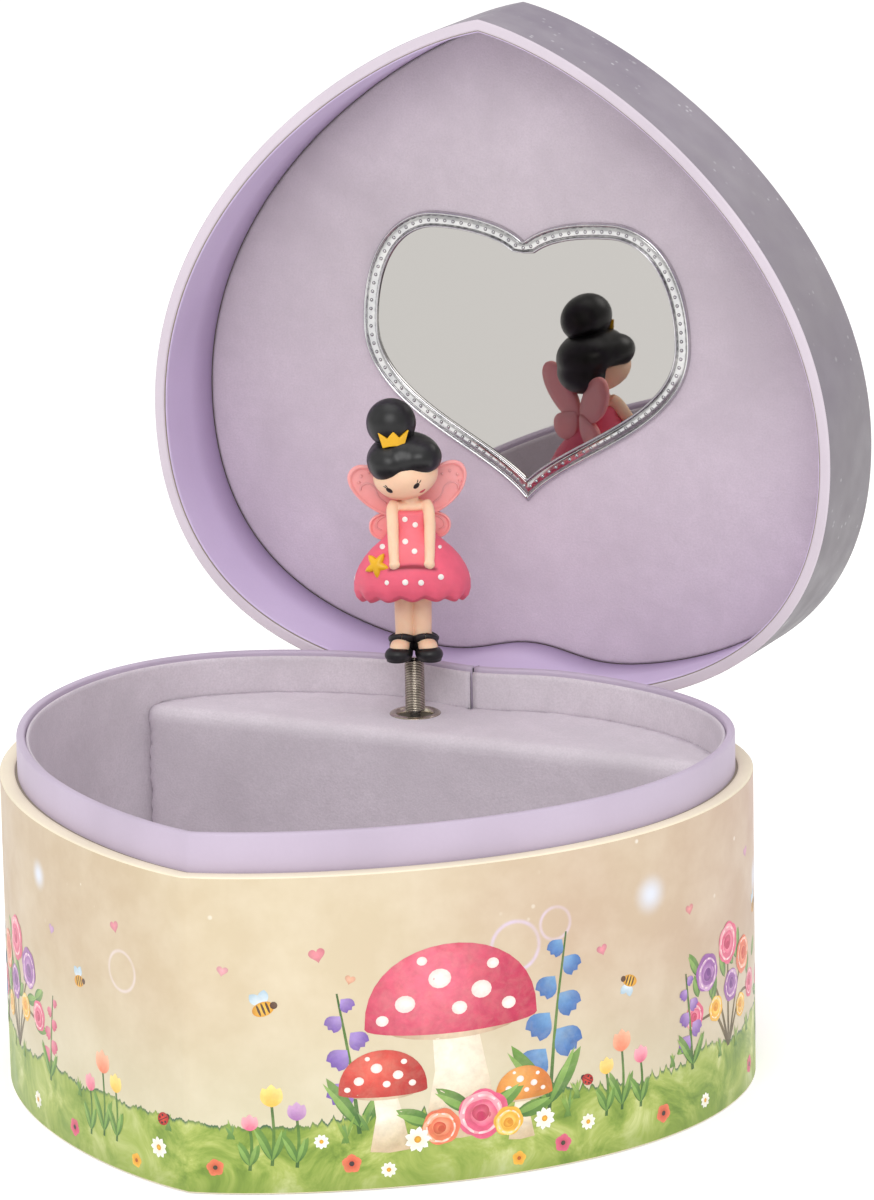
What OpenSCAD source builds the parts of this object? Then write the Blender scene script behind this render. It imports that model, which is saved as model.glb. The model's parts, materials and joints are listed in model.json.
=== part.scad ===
// Heart-shaped musical jewellery box with a dancing figure on a spring.
// Rigid board box with a neck, hinged lid with a heart mirror, and a
// wind-up comb movement behind a velour-covered partition.
// X runs along the hinge, -Y is the heart's point, +Z is up, z = 0 is the underside.

/* [Heart outline] */
// Overall width of the heart
box_w = 160; // [150:1:170]
// Distance from the hinge-wise origin to the front point
front_y = 81.5; // [78:0.5:86]
// Distance from the origin to the back, before the soft notch
back_y = 67.9; // [67.4:0.1:68.4]
// Where the sides are widest
wide_y = 9.6; // [8:0.2:11]
// Depth of the soft notch at the middle of the back
notch_d = 4.2; // [3.6:0.1:4.6]
// Half width of the soft notch
notch_w = 13; // [12:0.5:15]

/* [Base] */
// Height of the base wall
base_h = 66.5; // [65.5:0.25:68]
// How far the neck stands proud of the base wall
neck_h = 7.9; // [7:0.1:9]
// Thickness of the floor boards, underside sheet included
floor_t = 3.0; // [2.6:0.1:3.4]
// Inset of the neck from the outer face
neck_inset = 3.7; // [3.6:0.1:4]
// Thickness of the neck board
neck_t = 1.8; // [1.6:0.1:2]
// Thickness of the printed paper
paper_t = 0.3; // [0.2:0.05:0.4]
// Thickness of the velour linings
velour_t = 0.8; // [0.6:0.1:1]

/* [Movement housing] */
// Height of the velour deck over the movement
deck_z = 65.5; // [65:0.1:65.8]
// Front face of the velour partition
part_y = 33.5; // [32.5:0.5:33.5]
// Thickness of the partition and deck boards
part_t = 2.0; // [1.8:0.1:2.2]
// Radius of the soft front edge of the deck
edge_r = 2.8; // [2.2:0.1:3.2]

/* [Lid] */
// Height of the lid, rim to top
lid_h = 24.8; // [24.4:0.1:26]
// Depth from the rim to the velour pad
pad_d = 22.6; // [22.4:0.1:23]
// Thickness of the lid's wall, papers included
lid_t = 2.8; // [2.5:0.1:2.9]

/* [Mirror] */
// Half width of the mirror frame
mirror_w = 39; // [36:0.5:40]
// Distance from the hinge to the mirror's point
mirror_lo = 37.8; // [36:0.2:40]
// Distance from the hinge to the top of the lobes
mirror_hi = 101.2; // [98:0.2:103]
// Width of the embossed frame
frame_w = 3.6; // [3:0.1:4]

/* [Figure] */
// Position of the spindle across the box
spin_x = -10; // [-10.5:0.25:-9.5]
// Position of the spindle from front to back
spin_y = 50; // [49.8:0.1:50.2]
// Height at which the spring bends
fold_z = 73; // [72.8:0.1:73.2]
// Way the figure faces, from -Y towards +X
face_deg = 25; // [0:5:60]
// Outer radius of the coil spring
coil_r = 2.15; // [2.1:0.05:2.2]

/* [Movement] */
// Height of the winding arbor
key_z = 22; // [22:0.1:22.2]
// Distance of the cylinder arbor from the hinge-wise origin
cyl_y = 46; // [45.9:0.1:46]
// Radius of the pinned cylinder
cyl_r = 6.5; // [6:0.1:6.5]
// Number of notes on the comb
notes = 18; // [12:1:18]

/* [Hidden] */
$fn = 48;

tip_a = 28.4;      // handle length at the point
tip_deg = 11.6;    // slope of the outline at the point
side_b = 49.7;     // handle below the widest place
side_c = 56.5;     // handle above the widest place
back_e = 23.5;     // handle at the back

hinge_y = max([for (p = half(0)) p[1]]);
lid_z = base_h;                       // plane where lid and base meet
gear_c = 10;                          // cylinder to spindle centres
cyl_x = spin_x + sqrt(gear_c * gear_c - (spin_y - cyl_y) * (spin_y - cyl_y));
gov_c = 11;                           // cylinder to governor centres
gov_x = cyl_x - gov_c;
worm_x = gov_x - 4.4;
worm_z = 41.7;
mesh_deg = atan2(spin_y - cyl_y, spin_x - cyl_x);
plate_y = 54.6;                       // inner face of the bedplate
wall_in = neck_inset + neck_t;        // inset of the neck's inner face
screw_at = [[-17, 12], [21, 10], [21, 56]];
wire_y = back_y - notch_d - neck_inset - 0.9;
wire_top = base_h + neck_h - 0.5;
wire_pivot = [55.6, 50];

function bez(a, b, c, d, t) = pow(1 - t, 3) * a + 3 * pow(1 - t, 2) * t * b
  + 3 * (1 - t) * t * t * c + t * t * t * d;
function raw(s) = s <= 1
  ? bez([0, -front_y], [tip_a * cos(tip_deg), -front_y + tip_a * sin(tip_deg)],
        [box_w / 2, wide_y - side_b], [box_w / 2, wide_y], s)
  : let (p = bez([box_w / 2, wide_y], [box_w / 2, wide_y + side_c],
                 [back_e, back_y], [0, back_y], s - 1))
    [p[0], p[1] - notch_d * exp(-pow(p[0] / notch_w, 2))];
function turn(s) = let (d = raw(min(s + 0.001, 2)) - raw(max(s - 0.001, 0))) d / norm(d);
function moved(s, d) = let (p = raw(s), t = turn(s)) [p[0] - d * t[1], p[1] + d * t[0]];
function stations() = concat([for (i = [1:24]) i / 24], [for (i = [1:33]) 1 + i / 34]);
// right half of the outline, moved inwards by d
function half(d) = concat([[0, -front_y + d / cos(tip_deg)]],
  [for (s = stations()) let (p = moved(s, d)) if (p[0] > 0.3) p],
  [[0, back_y - notch_d - d]]);
function outline(d) = let (h = half(d), n = len(h))
  concat(h, [for (i = [n - 2:-1:1]) [-h[i][0], h[i][1]]]);

// right half of the mirror outline, moved inwards by d; y is the distance from the hinge
function mraw(s) = let (w = mirror_w, lo = mirror_lo, hi = mirror_hi)
  s <= 1 ? bez([0, lo], [9, lo + 11.5], [w, lo + 17.5], [w, lo + 37.4], s)
  : s <= 2 ? bez([w, lo + 37.4], [w, hi - 9.2], [w * 0.79, hi], [w * 0.53, hi], s - 1)
  : bez([w * 0.53, hi], [w * 0.3, hi], [w * 0.1, hi - 1.8], [0, hi - 5.3], s - 2);
function mturn(s) = let (d = mraw(min(s + 0.001, 3)) - mraw(max(s - 0.001, 0))) d / norm(d);
function mhalf(d) = let (t0 = mturn(0), t3 = mturn(3))
  concat([[0, mirror_lo + d / t0[0]]],
  [for (i = [1:35]) let (s = i / 12, p = mraw(s), t = mturn(s), q = [p[0] - d * t[1], p[1] + d * t[0]]) if (q[0] > 0.2) q],
  [[0, mirror_hi - 5.3 - d / -t3[0]]]);
function mirror_line(d) = let (h = mhalf(d), n = len(h))
  concat([for (p = h) [p[0], hinge_y - p[1]]],
         [for (i = [n - 2:-1:1]) [-h[i][0], hinge_y - h[i][1]]]);

// toothed outline with straight-sided teeth
function gear_line(z, m, ph) = [for (i = [0:z - 1], k = [0:3])
  let (a = ph + i * 360 / z, rp = z * m / 2,
       r = (k == 0 || k == 3) ? rp - 1.2 * m : rp + 0.8 * m,
       w = (k == 0 || k == 3) ? 0.52 : 0.2,
       da = (k < 2 ? -1 : 1) * w * m * 180 / PI / rp * 1.35)
  [r * cos(a + da), r * sin(a + da)]];
function spiral(r0, r1, n, t) = let (k = 24 * n) concat(
  [for (i = [0:k]) let (r = r0 + (r1 - r0) * i / k, a = i * 15) [r * cos(a), r * sin(a)]],
  [for (i = [k:-1:0]) let (r = r0 + (r1 - r0) * i / k + t, a = i * 15) [r * cos(a), r * sin(a)]]);

module slab(d, z0, z1) { translate([0, 0, z0]) linear_extrude(z1 - z0) polygon(outline(d)); }
module band(d0, d1, z0, z1) {
  translate([0, 0, z0]) linear_extrude(z1 - z0) difference() { polygon(outline(d0)); polygon(outline(d1)); }
}
module block(x0, x1, y0, y1, z0, z1) { translate([x0, y0, z0]) cube([x1 - x0, y1 - y0, z1 - z0]); }
module rod_y(x, z, r, y0, y1) { translate([x, y0, z]) rotate([-90, 0, 0]) cylinder(r = r, h = y1 - y0); }
module rod_z(x, y, r, z0, z1) { translate([x, y, z0]) cylinder(r = r, h = z1 - z0); }
module lid_open() { translate([0, hinge_y, lid_z]) rotate([-90, 0, 0]) translate([0, -hinge_y, -lid_z]) children(); }
module figure_at() { translate([spin_x, spin_y, 0]) rotate([0, 0, face_deg]) children(); }
module wall_holes(r) {
  rod_y(cyl_x, key_z, 4.2, 50, 80);
  for (p = screw_at) rod_y(p[0], p[1], r, 50, 80);
}
module wire_slot(y0, z0) { block(-0.75, 0.75, y0, wire_y + 0.6, z0, 90); }

// ---- base ----
module underside_sheet() { color("gainsboro") slab(paper_t, 0, 0.5); }
module base_floor() { color("tan") slab(paper_t, 0.5, floor_t); }
module base_wall() {
  color("tan") difference() { band(paper_t, neck_inset, floor_t, base_h - paper_t); wall_holes(1.35); }
}
module printed_wrap() {
  color("moccasin") difference() {
    union() {
      band(0, paper_t, 0, base_h);
      band(paper_t, neck_inset, base_h - paper_t, base_h);
    }
    wall_holes(1.35);
  }
}
module neck_collar() {
  color("thistle") difference() {
    band(neck_inset, wall_in, floor_t, base_h + neck_h);
    wall_holes(1.35);
    wire_slot(50, 47);
    block(-0.75, 0.75, 50, 80, wire_top - 1, 90);
  }
}
module well_lining() {
  color("lavender") difference() {
    band(wall_in, wall_in + velour_t, floor_t, base_h + neck_h - 0.7);
    block(-90, 90, part_y, 90, -1, deck_z);
    wire_slot(50, 60);
  }
}
module well_floor_pad() {
  color("lavender") intersection() {
    slab(wall_in + velour_t, floor_t, floor_t + 1.2);
    block(-90, 90, -90, part_y, 0, 20);
  }
}
module partition_wall() {
  color("tan") intersection() {
    slab(wall_in, floor_t, 80);
    block(-90, 90, part_y + velour_t, part_y + velour_t + part_t, 0, deck_z - velour_t - part_t);
  }
}
// section of the deck with its round front edge, moved in by g
function deck_edge(g) = [for (i = [0:8]) let (a = 180 - i * 11.25, r = edge_r - g)
  [part_y + edge_r + r * cos(a), deck_z - edge_r + r * sin(a)]];
module across(pts) { translate([-90, 0, 0]) rotate([90, 0, 90]) linear_extrude(180) polygon(pts); }
module deck_board() {
  color("tan") difference() {
    intersection() {
      slab(wall_in, 40, 80);
      across(concat([[part_y + velour_t, deck_z - velour_t - part_t]], deck_edge(velour_t),
        [[90, deck_z - velour_t], [90, deck_z - velour_t - part_t]]));
    }
    rod_z(spin_x, spin_y, 4.1, 50, 80);
    block(-0.75, 0.75, 56.5, 70, 50, 80);
  }
}
module deck_velour() {
  color("lavender") difference() {
    intersection() {
      slab(wall_in, floor_t, 80);
      across(concat([[part_y, floor_t]], deck_edge(0), [[90, deck_z], [90, deck_z - velour_t]],
        [for (i = [8:-1:0]) deck_edge(velour_t)[i]], [[part_y + velour_t, floor_t]]));
    }
    rod_z(spin_x, spin_y, 4.1, 50, 80);
    block(-0.75, 0.75, 56.5, 70, 50, 80);
  }
}
module spindle_eyelet() {
  color("silver") translate([spin_x, spin_y, 0]) rotate_extrude()
    polygon([[3.7, deck_z - 4], [4.1, deck_z - 4], [4.1, deck_z], [5.4, deck_z], [5.2, deck_z + 0.25], [4.0, deck_z + 0.3], [3.7, deck_z - 0.2]]);
}
module key_grommet() {
  color("silver") difference() {
    union() {
      rod_y(cyl_x, key_z, 4.2, 57.6, 64.6);
      rod_y(cyl_x, key_z, 5.3, 64.6, 65.3);
    }
    rod_y(cyl_x, key_z, 3.4, 50, 70);
  }
}
module hinge_cloth_base() {
  color("thistle") intersection() {
    band(-0.3, 0, base_h - 7, base_h - 0.6);
    block(-36, 36, 40, 80, 0, 90);
  }
}
module movement_pad() {
  color("tan") difference() {
    intersection() {
      slab(wall_in, 5, 61);
      block(-23, 27, plate_y + 2, 80, 0, 90);
    }
    wall_holes(1.35);
    rod_y(cyl_x, key_z, 5, 50, 80);
    wire_slot(50, 47);
  }
}

// ---- movement, fixed parts ----
module bedplate() {
  color("goldenrod") difference() {
    union() {
      block(-23, 27, plate_y, plate_y + 2, 5, 61);
      block(17, 27, cyl_y + 0.6, plate_y, 39, 58.2);
      translate([-2, wire_pivot[0], wire_pivot[1]]) rotate([0, 90, 0]) cylinder(r = 0.6, h = 4);
    }
    rod_y(cyl_x, key_z, 1.66, 50, 60);
    for (p = screw_at) rod_y(p[0], p[1], 1.25, 50, 60);
    for (z = [44, 53]) rod_y(22, z, 1.0, 40, 52);
    difference() {
      block(-1, 1, 50, 60, 47, 70);
      translate([-2, wire_pivot[0], wire_pivot[1]]) rotate([0, 90, 0]) cylinder(r = 0.6, h = 4);
    }
  }
}
module mounting_screws() {
  color("silver") for (p = screw_at) {
    y1 = hinge_y + 0.3;
    rod_y(p[0], p[1], 1.25, plate_y + 0.2, y1);
    translate([p[0], y1, p[1]]) rotate([-90, 0, 0]) cylinder(r1 = 2.6, r2 = 1.8, h = 1.2);
  }
}
module spring_housing() {
  color("silver") difference() {
    union() {
      rod_y(cyl_x, key_z, 11, 39.5, 49.2);
      for (s = [-1, 1]) {
        rod_y(cyl_x + s * 16.5, key_z, 1.8, 39.5, plate_y);
        block(cyl_x + s * 13.5 - 3, cyl_x + s * 13.5 + 3, 39.5, 40.7, key_z - 2, key_z + 2);
      }
    }
    rod_y(cyl_x, key_z, 10.2, 40.7, 50);
    rod_y(cyl_x, key_z, 1.66, 30, 60);
  }
}
module mainspring() {
  color("slategray") translate([cyl_x, 48.9, key_z]) rotate([90, 0, 0])
    linear_extrude(7.9) polygon(spiral(2.4, 9.5, 6, 0.45));
}
module comb() {
  color("lightgray") difference() {
    block(cyl_x + cyl_r + 0.55, 27, cyl_y - 0.6, cyl_y + 0.6, 39.6, 57.6);
    for (i = [1:notes - 1]) block(0, 16.5, 40, 50, 39.6 + i * 18 / notes - 0.1, 39.6 + i * 18 / notes + 0.1);
    for (z = [44, 53]) rod_y(22, z, 1.0, 40, 52);
  }
}
module comb_screws() {
  color("silver") for (z = [44, 53]) difference() {
    union() { rod_y(22, z, 1.0, cyl_y - 0.6, 51.5); rod_y(22, z, 2.1, cyl_y - 2, cyl_y - 0.6); }
    block(19, 25, cyl_y - 3, cyl_y - 1.5, z - 0.3, z + 0.3);
  }
}
module cylinder_bracket() {
  color("silver") difference() {
    block(cyl_x - 4, cyl_x + 4, 43, plate_y, 36.4, 37.4);
    rod_z(cyl_x, cyl_y, 1.06, 30, 40);
  }
}
module governor_frame() {
  color("silver") difference() {
    union() {
      block(-21, -8.5, 42.3, plate_y, 35.2, 36.2);
      block(-21, -8.5, 42.3, plate_y, 45, 46);
      block(-21, -14.5, 42.3, 43.2, 36.2, 45);
      block(worm_x - 1.6, worm_x + 1.6, 50.4, plate_y, 36.2, 43.6);
    }
    rod_z(gov_x, cyl_y, 0.86, 30, 50);
    rod_y(worm_x, worm_z, 0.66, 40, 53);
  }
}
module spindle_bracket() {
  color("silver") difference() {
    union() {
      block(-14, 4, 43.2, plate_y, 59.7, 60.7);
      block(-14, cyl_x - cyl_r - 0.6, 47.6, plate_y, 55.4, 56.6);
    }
    rod_z(cyl_x, cyl_y, 1.06, 50, 70);
    rod_z(spin_x, spin_y, 1.26, 50, 70);
  }
}

// ---- moving parts of the movement ----
module winding_arbor() {
  color("silver") rod_y(cyl_x, key_z, 1.6, 38.4, 71);
}
module main_wheel() {
  color("goldenrod") difference() {
    union() {
      rod_y(cyl_x, key_z, 14.2, 49.6, 51.2);
      rod_y(cyl_x, key_z, 3, 51.2, 54.2);
      for (i = [0:39]) translate([cyl_x, 0, key_z]) rotate([0, (i + 0.5) * 9, 0])
        translate([-0.4, 48.3, 12]) cube([0.8, 1.4, 2.1]);
    }
    rod_y(cyl_x, key_z, 1.6, 40, 60);
  }
}
module winding_key() {
  color("silver") difference() {
    union() {
      rod_y(cyl_x, key_z, 3, 65, 73.5);
      for (s = [-1, 1]) translate([cyl_x + s * 6, 77, key_z - 0.9]) cylinder(r = 5.6, h = 1.8);
      block(cyl_x - 3, cyl_x + 3, 71, 78.5, key_z - 0.9, key_z + 0.9);
    }
    rod_y(cyl_x, key_z, 1.6, 60, 71);
    for (s = [-1, 1]) translate([cyl_x + s * 6.4, 77, key_z - 2]) cylinder(r = 2.6, h = 4);
  }
}
module pin_cylinder() {
  color("goldenrod") difference() {
    union() {
      rod_z(cyl_x, cyl_y, cyl_r, 39.6, 57.6);
      for (i = [0:notes - 1], k = [0:2]) translate([cyl_x, cyl_y, 39.6 + (i + 0.5) * 18 / notes])
        rotate([0, 0, 17 + k * 120 + ((i * 7) % 11) * 10]) translate([cyl_r - 0.2, -0.15, -0.15]) cube([0.55, 0.3, 0.3]);
    }
    rod_z(cyl_x, cyl_y, 1.0, 30, 70);
  }
}
module cylinder_arbor() { color("silver") rod_z(cyl_x, cyl_y, 1.0, 33, 61.5); }
module cylinder_gears() {
  color("goldenrod") translate([cyl_x, cyl_y, 0]) difference() {
    union() {
      translate([0, 0, 33.4]) linear_extrude(2.8) polygon(gear_line(8, 0.65, 90));
      translate([0, 0, 37.8]) linear_extrude(1.4) polygon(gear_line(30, 0.5, 180));
      translate([0, 0, 58]) linear_extrude(1.4) polygon(gear_line(24, 0.5, mesh_deg));
    }
    translate([0, 0, 30]) cylinder(r = 1.0, h = 40);
  }
}
module governor_wheel() {
  color("goldenrod") translate([gov_x, cyl_y, 0]) {
    translate([0, 0, 35]) cylinder(r = 0.8, h = 11.4);
    translate([0, 0, 37.8]) linear_extrude(1.4) polygon(gear_line(14, 0.5, 180 / 14));
    translate([0, 0, 41]) linear_extrude(1.4) polygon(gear_line(12, 0.5, 0));
  }
}
module governor_fan() {
  color("lightgray") {
    rod_y(worm_x, worm_z, 0.6, 38.6, 52.6);
    for (i = [0:4]) translate([worm_x, 43.6 + i * 1.3, worm_z]) rotate([-90, 0, 0])
      cylinder(r1 = 0.7, r2 = 0.92, h = 0.4);
    block(worm_x - 3.8, worm_x + 3.8, 38.6, 41.8, worm_z - 0.3, worm_z + 0.3);
  }
}
module spindle() {
  color("silver") { rod_z(spin_x, spin_y, 1.2, 55, 65.9); rod_z(spin_x, spin_y, 1.7, 65.9, 69); }
}
module spindle_gear() {
  color("goldenrod") translate([spin_x, spin_y, 58]) linear_extrude(1.4)
    difference() { polygon(gear_line(16, 0.5, mesh_deg + 180 + 180 / 16)); circle(r = 1.2); }
}
module stop_wire() {
  color("silver") {
    difference() {
      translate([-0.5, wire_pivot[0], wire_pivot[1]]) rotate([0, 90, 0]) cylinder(r = 1.3, h = 1);
      translate([-1, wire_pivot[0], wire_pivot[1]]) rotate([0, 90, 0]) cylinder(r = 0.65, h = 2);
    }
    block(-0.35, 0.35, wire_pivot[0] + 1.1, wire_y + 0.35, wire_pivot[1] - 0.35, wire_pivot[1] + 0.35);
    rod_z(0, wire_y, 0.35, wire_pivot[1] - 0.35, wire_top);
    rod_y(0, wire_top - 0.35, 0.35, wire_y, wire_y + 2.4);
  }
}

// ---- figure ----
module figure_spring() {
  color("silver") translate([spin_x, spin_y, 0]) difference() {
    translate([0, 0, 65.9]) cylinder(r = coil_r, h = 11.1);
    translate([0, 0, 60]) cylinder(r = coil_r - 0.42, h = 30);
  }
}
module figure_body() {
  color("peachpuff") figure_at() {
    difference() {
      union() {
        translate([0, 0, 75]) cylinder(r = 1.7, h = 6);
        translate([0, 0, 78]) cylinder(r = 2.2, h = 5);
        for (s = [-1, 1]) translate([s * 2.15, 0, 79]) cylinder(r1 = 1.85, r2 = 2.1, h = 13.6);
        translate([0, 0, 92]) cylinder(r = 2.0, h = 22);
        translate([-4.3, -1.2, 110]) rotate([0, 90, 0]) cylinder(r = 1.3, h = 8.6);
        for (s = [-1, 1]) {
          translate([s * 4.3, -1.2, 110]) sphere(r = 1.5);
          translate([s * 4.3, -1.2, 110]) rotate([26, -s * 2, 0]) mirror([0, 0, 1]) cylinder(r1 = 1.4, r2 = 1.15, h = 13.8);
        }
        translate([0, 0, 120.2]) sphere(r = 7.3);
      }
    }
  }
}
module figure_dress() {
  color("palevioletred") figure_at() rotate_extrude() polygon([[0, 92.6], [9.5, 92.6], [10.3, 91.2],
    [11.6, 91.6], [12.4, 93.2], [12.1, 95.5], [10.9, 98.8], [8.6, 101.6], [5.0, 103.8], [3.9, 105.5], [3.7, 108],
    [3.9, 110.4], [0, 110.4]]);
}
module figure_shoes() {
  color("dimgray") figure_at() for (s = [-1, 1]) difference() {
    hull() {
      translate([s * 3.2, -1.5, 78.7]) sphere(r = 2.1, $fn = 24);
      translate([s * 4.3, -4.0, 78.5]) sphere(r = 1.9, $fn = 24);
    }
    translate([s * 3.2, -1.5, 78.9]) cylinder(r = 2.0, h = 6);
    translate([0, 0, 70]) cylinder(r = 2.2, h = 20);
  }
}
module figure_hair() {
  color("black") figure_at() {
    difference() {
      translate([0, 0.2, 120.4]) sphere(r = 7.8);
      translate([0, 0, 120.2]) sphere(r = 7.3);
      translate([-10, -12, 100]) cube([20, 10.5, 17.6]);
      translate([-10, -12, 100]) cube([20, 24, 14.2]);
    }
    difference() {
      translate([-2.6, 0.9, 129.6]) sphere(r = 5.2);
      translate([0, 0.2, 120.4]) sphere(r = 7.75);
    }
  }
}
module figure_crown() {
  color("gold") figure_at() translate([-2.7, -4.6, 124.2]) rotate([72, 0, 0]) linear_extrude(1.0, center = true)
    polygon([[-2.4, 0], [2.4, 0], [3.2, 4], [1.4, 2.4], [0, 4.2], [-1.4, 2.4], [-3.2, 4]]);
}
module figure_wings() {
  color("lightcoral") figure_at() translate([0, 4.4, 0]) rotate([90, 0, 0]) linear_extrude(1.1, center = true)
    union() for (s = [-1, 1]) {
      translate([s * 7.0, 114.4]) circle(r = 5.6);
      translate([s * 5.0, 107.4]) circle(r = 4.0);
      translate([s * 2.5, 110.5]) circle(r = 3.6);
    }
}
module figure_star() {
  color("gold") figure_at() translate([-7.4, -8.1, 98.1]) rotate([90, 0, 0]) rotate([0, 0, 8])
    linear_extrude(1.2, center = true) polygon([for (i = [0:9]) let (r = i % 2 == 0 ? 3 : 1.4, a = 90 + i * 36) [r * cos(a), r * sin(a)]]);
}

// ---- lid, drawn shut and stood open about the hinge ----
module lid_wall() { color("tan") lid_open() band(paper_t, lid_t - 0.3, lid_z + paper_t, lid_z + lid_h - paper_t); }
module lid_top() { color("tan") lid_open() slab(lid_t - 0.3, lid_z + pad_d + 0.7, lid_z + lid_h - paper_t); }
module lid_wrap() {
  color("plum") lid_open() {
    band(0, paper_t, lid_z, lid_z + lid_h - paper_t);
    slab(0, lid_z + lid_h - paper_t, lid_z + lid_h);
    band(paper_t, lid_t - 0.3, lid_z, lid_z + paper_t);
  }
}
module lid_inner_paper() { color("thistle") lid_open() band(lid_t - 0.3, lid_t, lid_z, lid_z + pad_d); }
module lid_pad() { color("lavender") lid_open() slab(lid_t - 0.3, lid_z + pad_d, lid_z + pad_d + 0.7); }
module mirror_plate() {
  color("white") lid_open() translate([0, 0, lid_z + pad_d - 0.8]) linear_extrude(0.8) polygon(mirror_line(frame_w));
}
module mirror_frame() {
  color("silver") lid_open() translate([0, 0, lid_z + pad_d - 1.5]) linear_extrude(1.5)
    difference() { polygon(mirror_line(0)); polygon(mirror_line(frame_w)); }
}
module hinge_cloth_lid() {
  color("thistle") lid_open() intersection() {
    band(-0.3, 0, lid_z + 0.2, lid_z + 7);
    block(-36, 36, 40, 80, 0, 90);
  }
}
// strip that stops the lid upright: from the base's ledge to the lid's rim
module hinge_stay() {
  color("thistle") translate([-32, 0, 0]) rotate([90, 0, 90]) linear_extrude(64)
    polygon([[hinge_y - 2.9, base_h], [hinge_y - 2.6, base_h], [hinge_y, base_h + 2.3], [hinge_y, base_h + 2.6]]);
}

underside_sheet();
base_floor();
base_wall();
printed_wrap();
neck_collar();
well_lining();
well_floor_pad();
partition_wall();
deck_board();
deck_velour();
spindle_eyelet();
key_grommet();
hinge_cloth_base();
movement_pad();
bedplate();
mounting_screws();
spring_housing();
mainspring();
comb();
comb_screws();
cylinder_bracket();
governor_frame();
spindle_bracket();
winding_key();
winding_arbor();
main_wheel();
pin_cylinder();
cylinder_arbor();
cylinder_gears();
governor_wheel();
governor_fan();
spindle();
spindle_gear();
stop_wire();
figure_spring();
figure_body();
figure_dress();
figure_shoes();
figure_hair();
figure_crown();
figure_wings();
figure_star();
lid_wall();
lid_top();
lid_wrap();
lid_inner_paper();
lid_pad();
mirror_plate();
mirror_frame();
hinge_cloth_lid();
hinge_stay();
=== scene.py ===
import bpy, bmesh, json, math, random
import numpy as np
from mathutils import Vector, Matrix
from mathutils.geometry import delaunay_2d_cdt

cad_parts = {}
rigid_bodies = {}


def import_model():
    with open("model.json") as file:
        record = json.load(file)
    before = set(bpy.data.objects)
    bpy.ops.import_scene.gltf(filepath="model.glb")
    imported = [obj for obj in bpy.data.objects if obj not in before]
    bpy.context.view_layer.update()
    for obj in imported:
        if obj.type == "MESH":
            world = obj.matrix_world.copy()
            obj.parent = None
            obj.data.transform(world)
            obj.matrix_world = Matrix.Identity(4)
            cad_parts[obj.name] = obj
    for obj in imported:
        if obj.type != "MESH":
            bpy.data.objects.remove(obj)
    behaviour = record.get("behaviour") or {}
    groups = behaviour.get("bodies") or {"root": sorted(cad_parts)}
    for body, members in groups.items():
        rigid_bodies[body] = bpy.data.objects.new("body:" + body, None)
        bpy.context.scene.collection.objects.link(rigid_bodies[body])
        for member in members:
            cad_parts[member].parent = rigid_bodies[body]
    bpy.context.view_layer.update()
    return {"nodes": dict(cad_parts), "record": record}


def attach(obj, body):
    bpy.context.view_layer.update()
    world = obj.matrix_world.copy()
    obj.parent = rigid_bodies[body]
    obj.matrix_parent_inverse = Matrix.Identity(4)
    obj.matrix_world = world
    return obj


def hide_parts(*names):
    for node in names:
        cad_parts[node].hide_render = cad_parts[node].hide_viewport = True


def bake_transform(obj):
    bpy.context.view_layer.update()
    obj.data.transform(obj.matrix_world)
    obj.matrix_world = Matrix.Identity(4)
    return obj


for _o in list(bpy.data.objects):
    bpy.data.objects.remove(_o)
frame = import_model()
NODES = frame["nodes"]
SC = bpy.context.scene
MM = 0.001
RNG = random.Random(7)

# ------------------------------------------------------------------ sizes, in mm, as in the CAD
BW, FY, BY, WY, ND, NW = 80.0, 81.5, 67.9, 9.6, 4.2, 13.0
TA, TD, SB, SCC, BE = 28.4, math.radians(11.6), 49.7, 56.5, 23.5
BASE_H, COLLAR_TOP, DECK_Z, PART_Y, EDGE_R = 66.5, 74.4, 65.5, 33.5, 2.8
LID_H, PAD_D, LID_T = 24.8, 22.6, 2.8
MW, MLO, MHI, MFW = 39.0, 37.8, 101.2, 3.6
SPIN = (-10.0, 50.0)
HY = 66.5954


# ------------------------------------------------------------------ camera
def make_camera():
    az, el, roll, dist, tx, tz, f = 0.4405087, 0.2524003, -0.0200317, 1432.1401, 17.447028, 103.09774, 6891.5726
    back = Vector((math.sin(az) * math.cos(el), -math.cos(az) * math.cos(el), math.sin(el)))
    right = Vector((math.cos(az), math.sin(az), 0))
    up = back.cross(right)
    r2 = right * math.cos(roll) + up * math.sin(roll)
    u2 = -right * math.sin(roll) + up * math.cos(roll)
    eye = right * tx + Vector((0, 0, tz)) + back * dist
    cam = bpy.data.cameras.new("camera")
    cam.sensor_fit = "AUTO"
    cam.sensor_width = 36
    cam.lens = f * 36 / 1200
    cam.clip_start, cam.clip_end = 0.05, 30
    ob = bpy.data.objects.new("camera", cam)
    SC.collection.objects.link(ob)
    m = Matrix((r2, u2, back)).transposed().to_4x4()
    m.translation = eye * MM
    ob.matrix_world = m
    SC.camera = ob


make_camera()


# ------------------------------------------------------------------ outline of the heart
def bez(a, b, c, d, t):
    a, b, c, d = (np.array(v, float) for v in (a, b, c, d))
    t = np.asarray(t, float)[:, None]
    return (1 - t) ** 3 * a + 3 * (1 - t) ** 2 * t * b + 3 * (1 - t) * t * t * c + t ** 3 * d


def raw(s):
    s = np.atleast_1d(np.asarray(s, float))
    p = bez((0, -FY), (TA * math.cos(TD), -FY + TA * math.sin(TD)), (BW, WY - SB), (BW, WY), np.clip(s, 0, 1))
    q = bez((BW, WY), (BW, WY + SCC), (BE, BY), (0, BY), np.clip(s - 1, 0, 1))
    q[:, 1] -= ND * np.exp(-(q[:, 0] / NW) ** 2)
    return np.where((s <= 1)[:, None], p, q)


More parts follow.
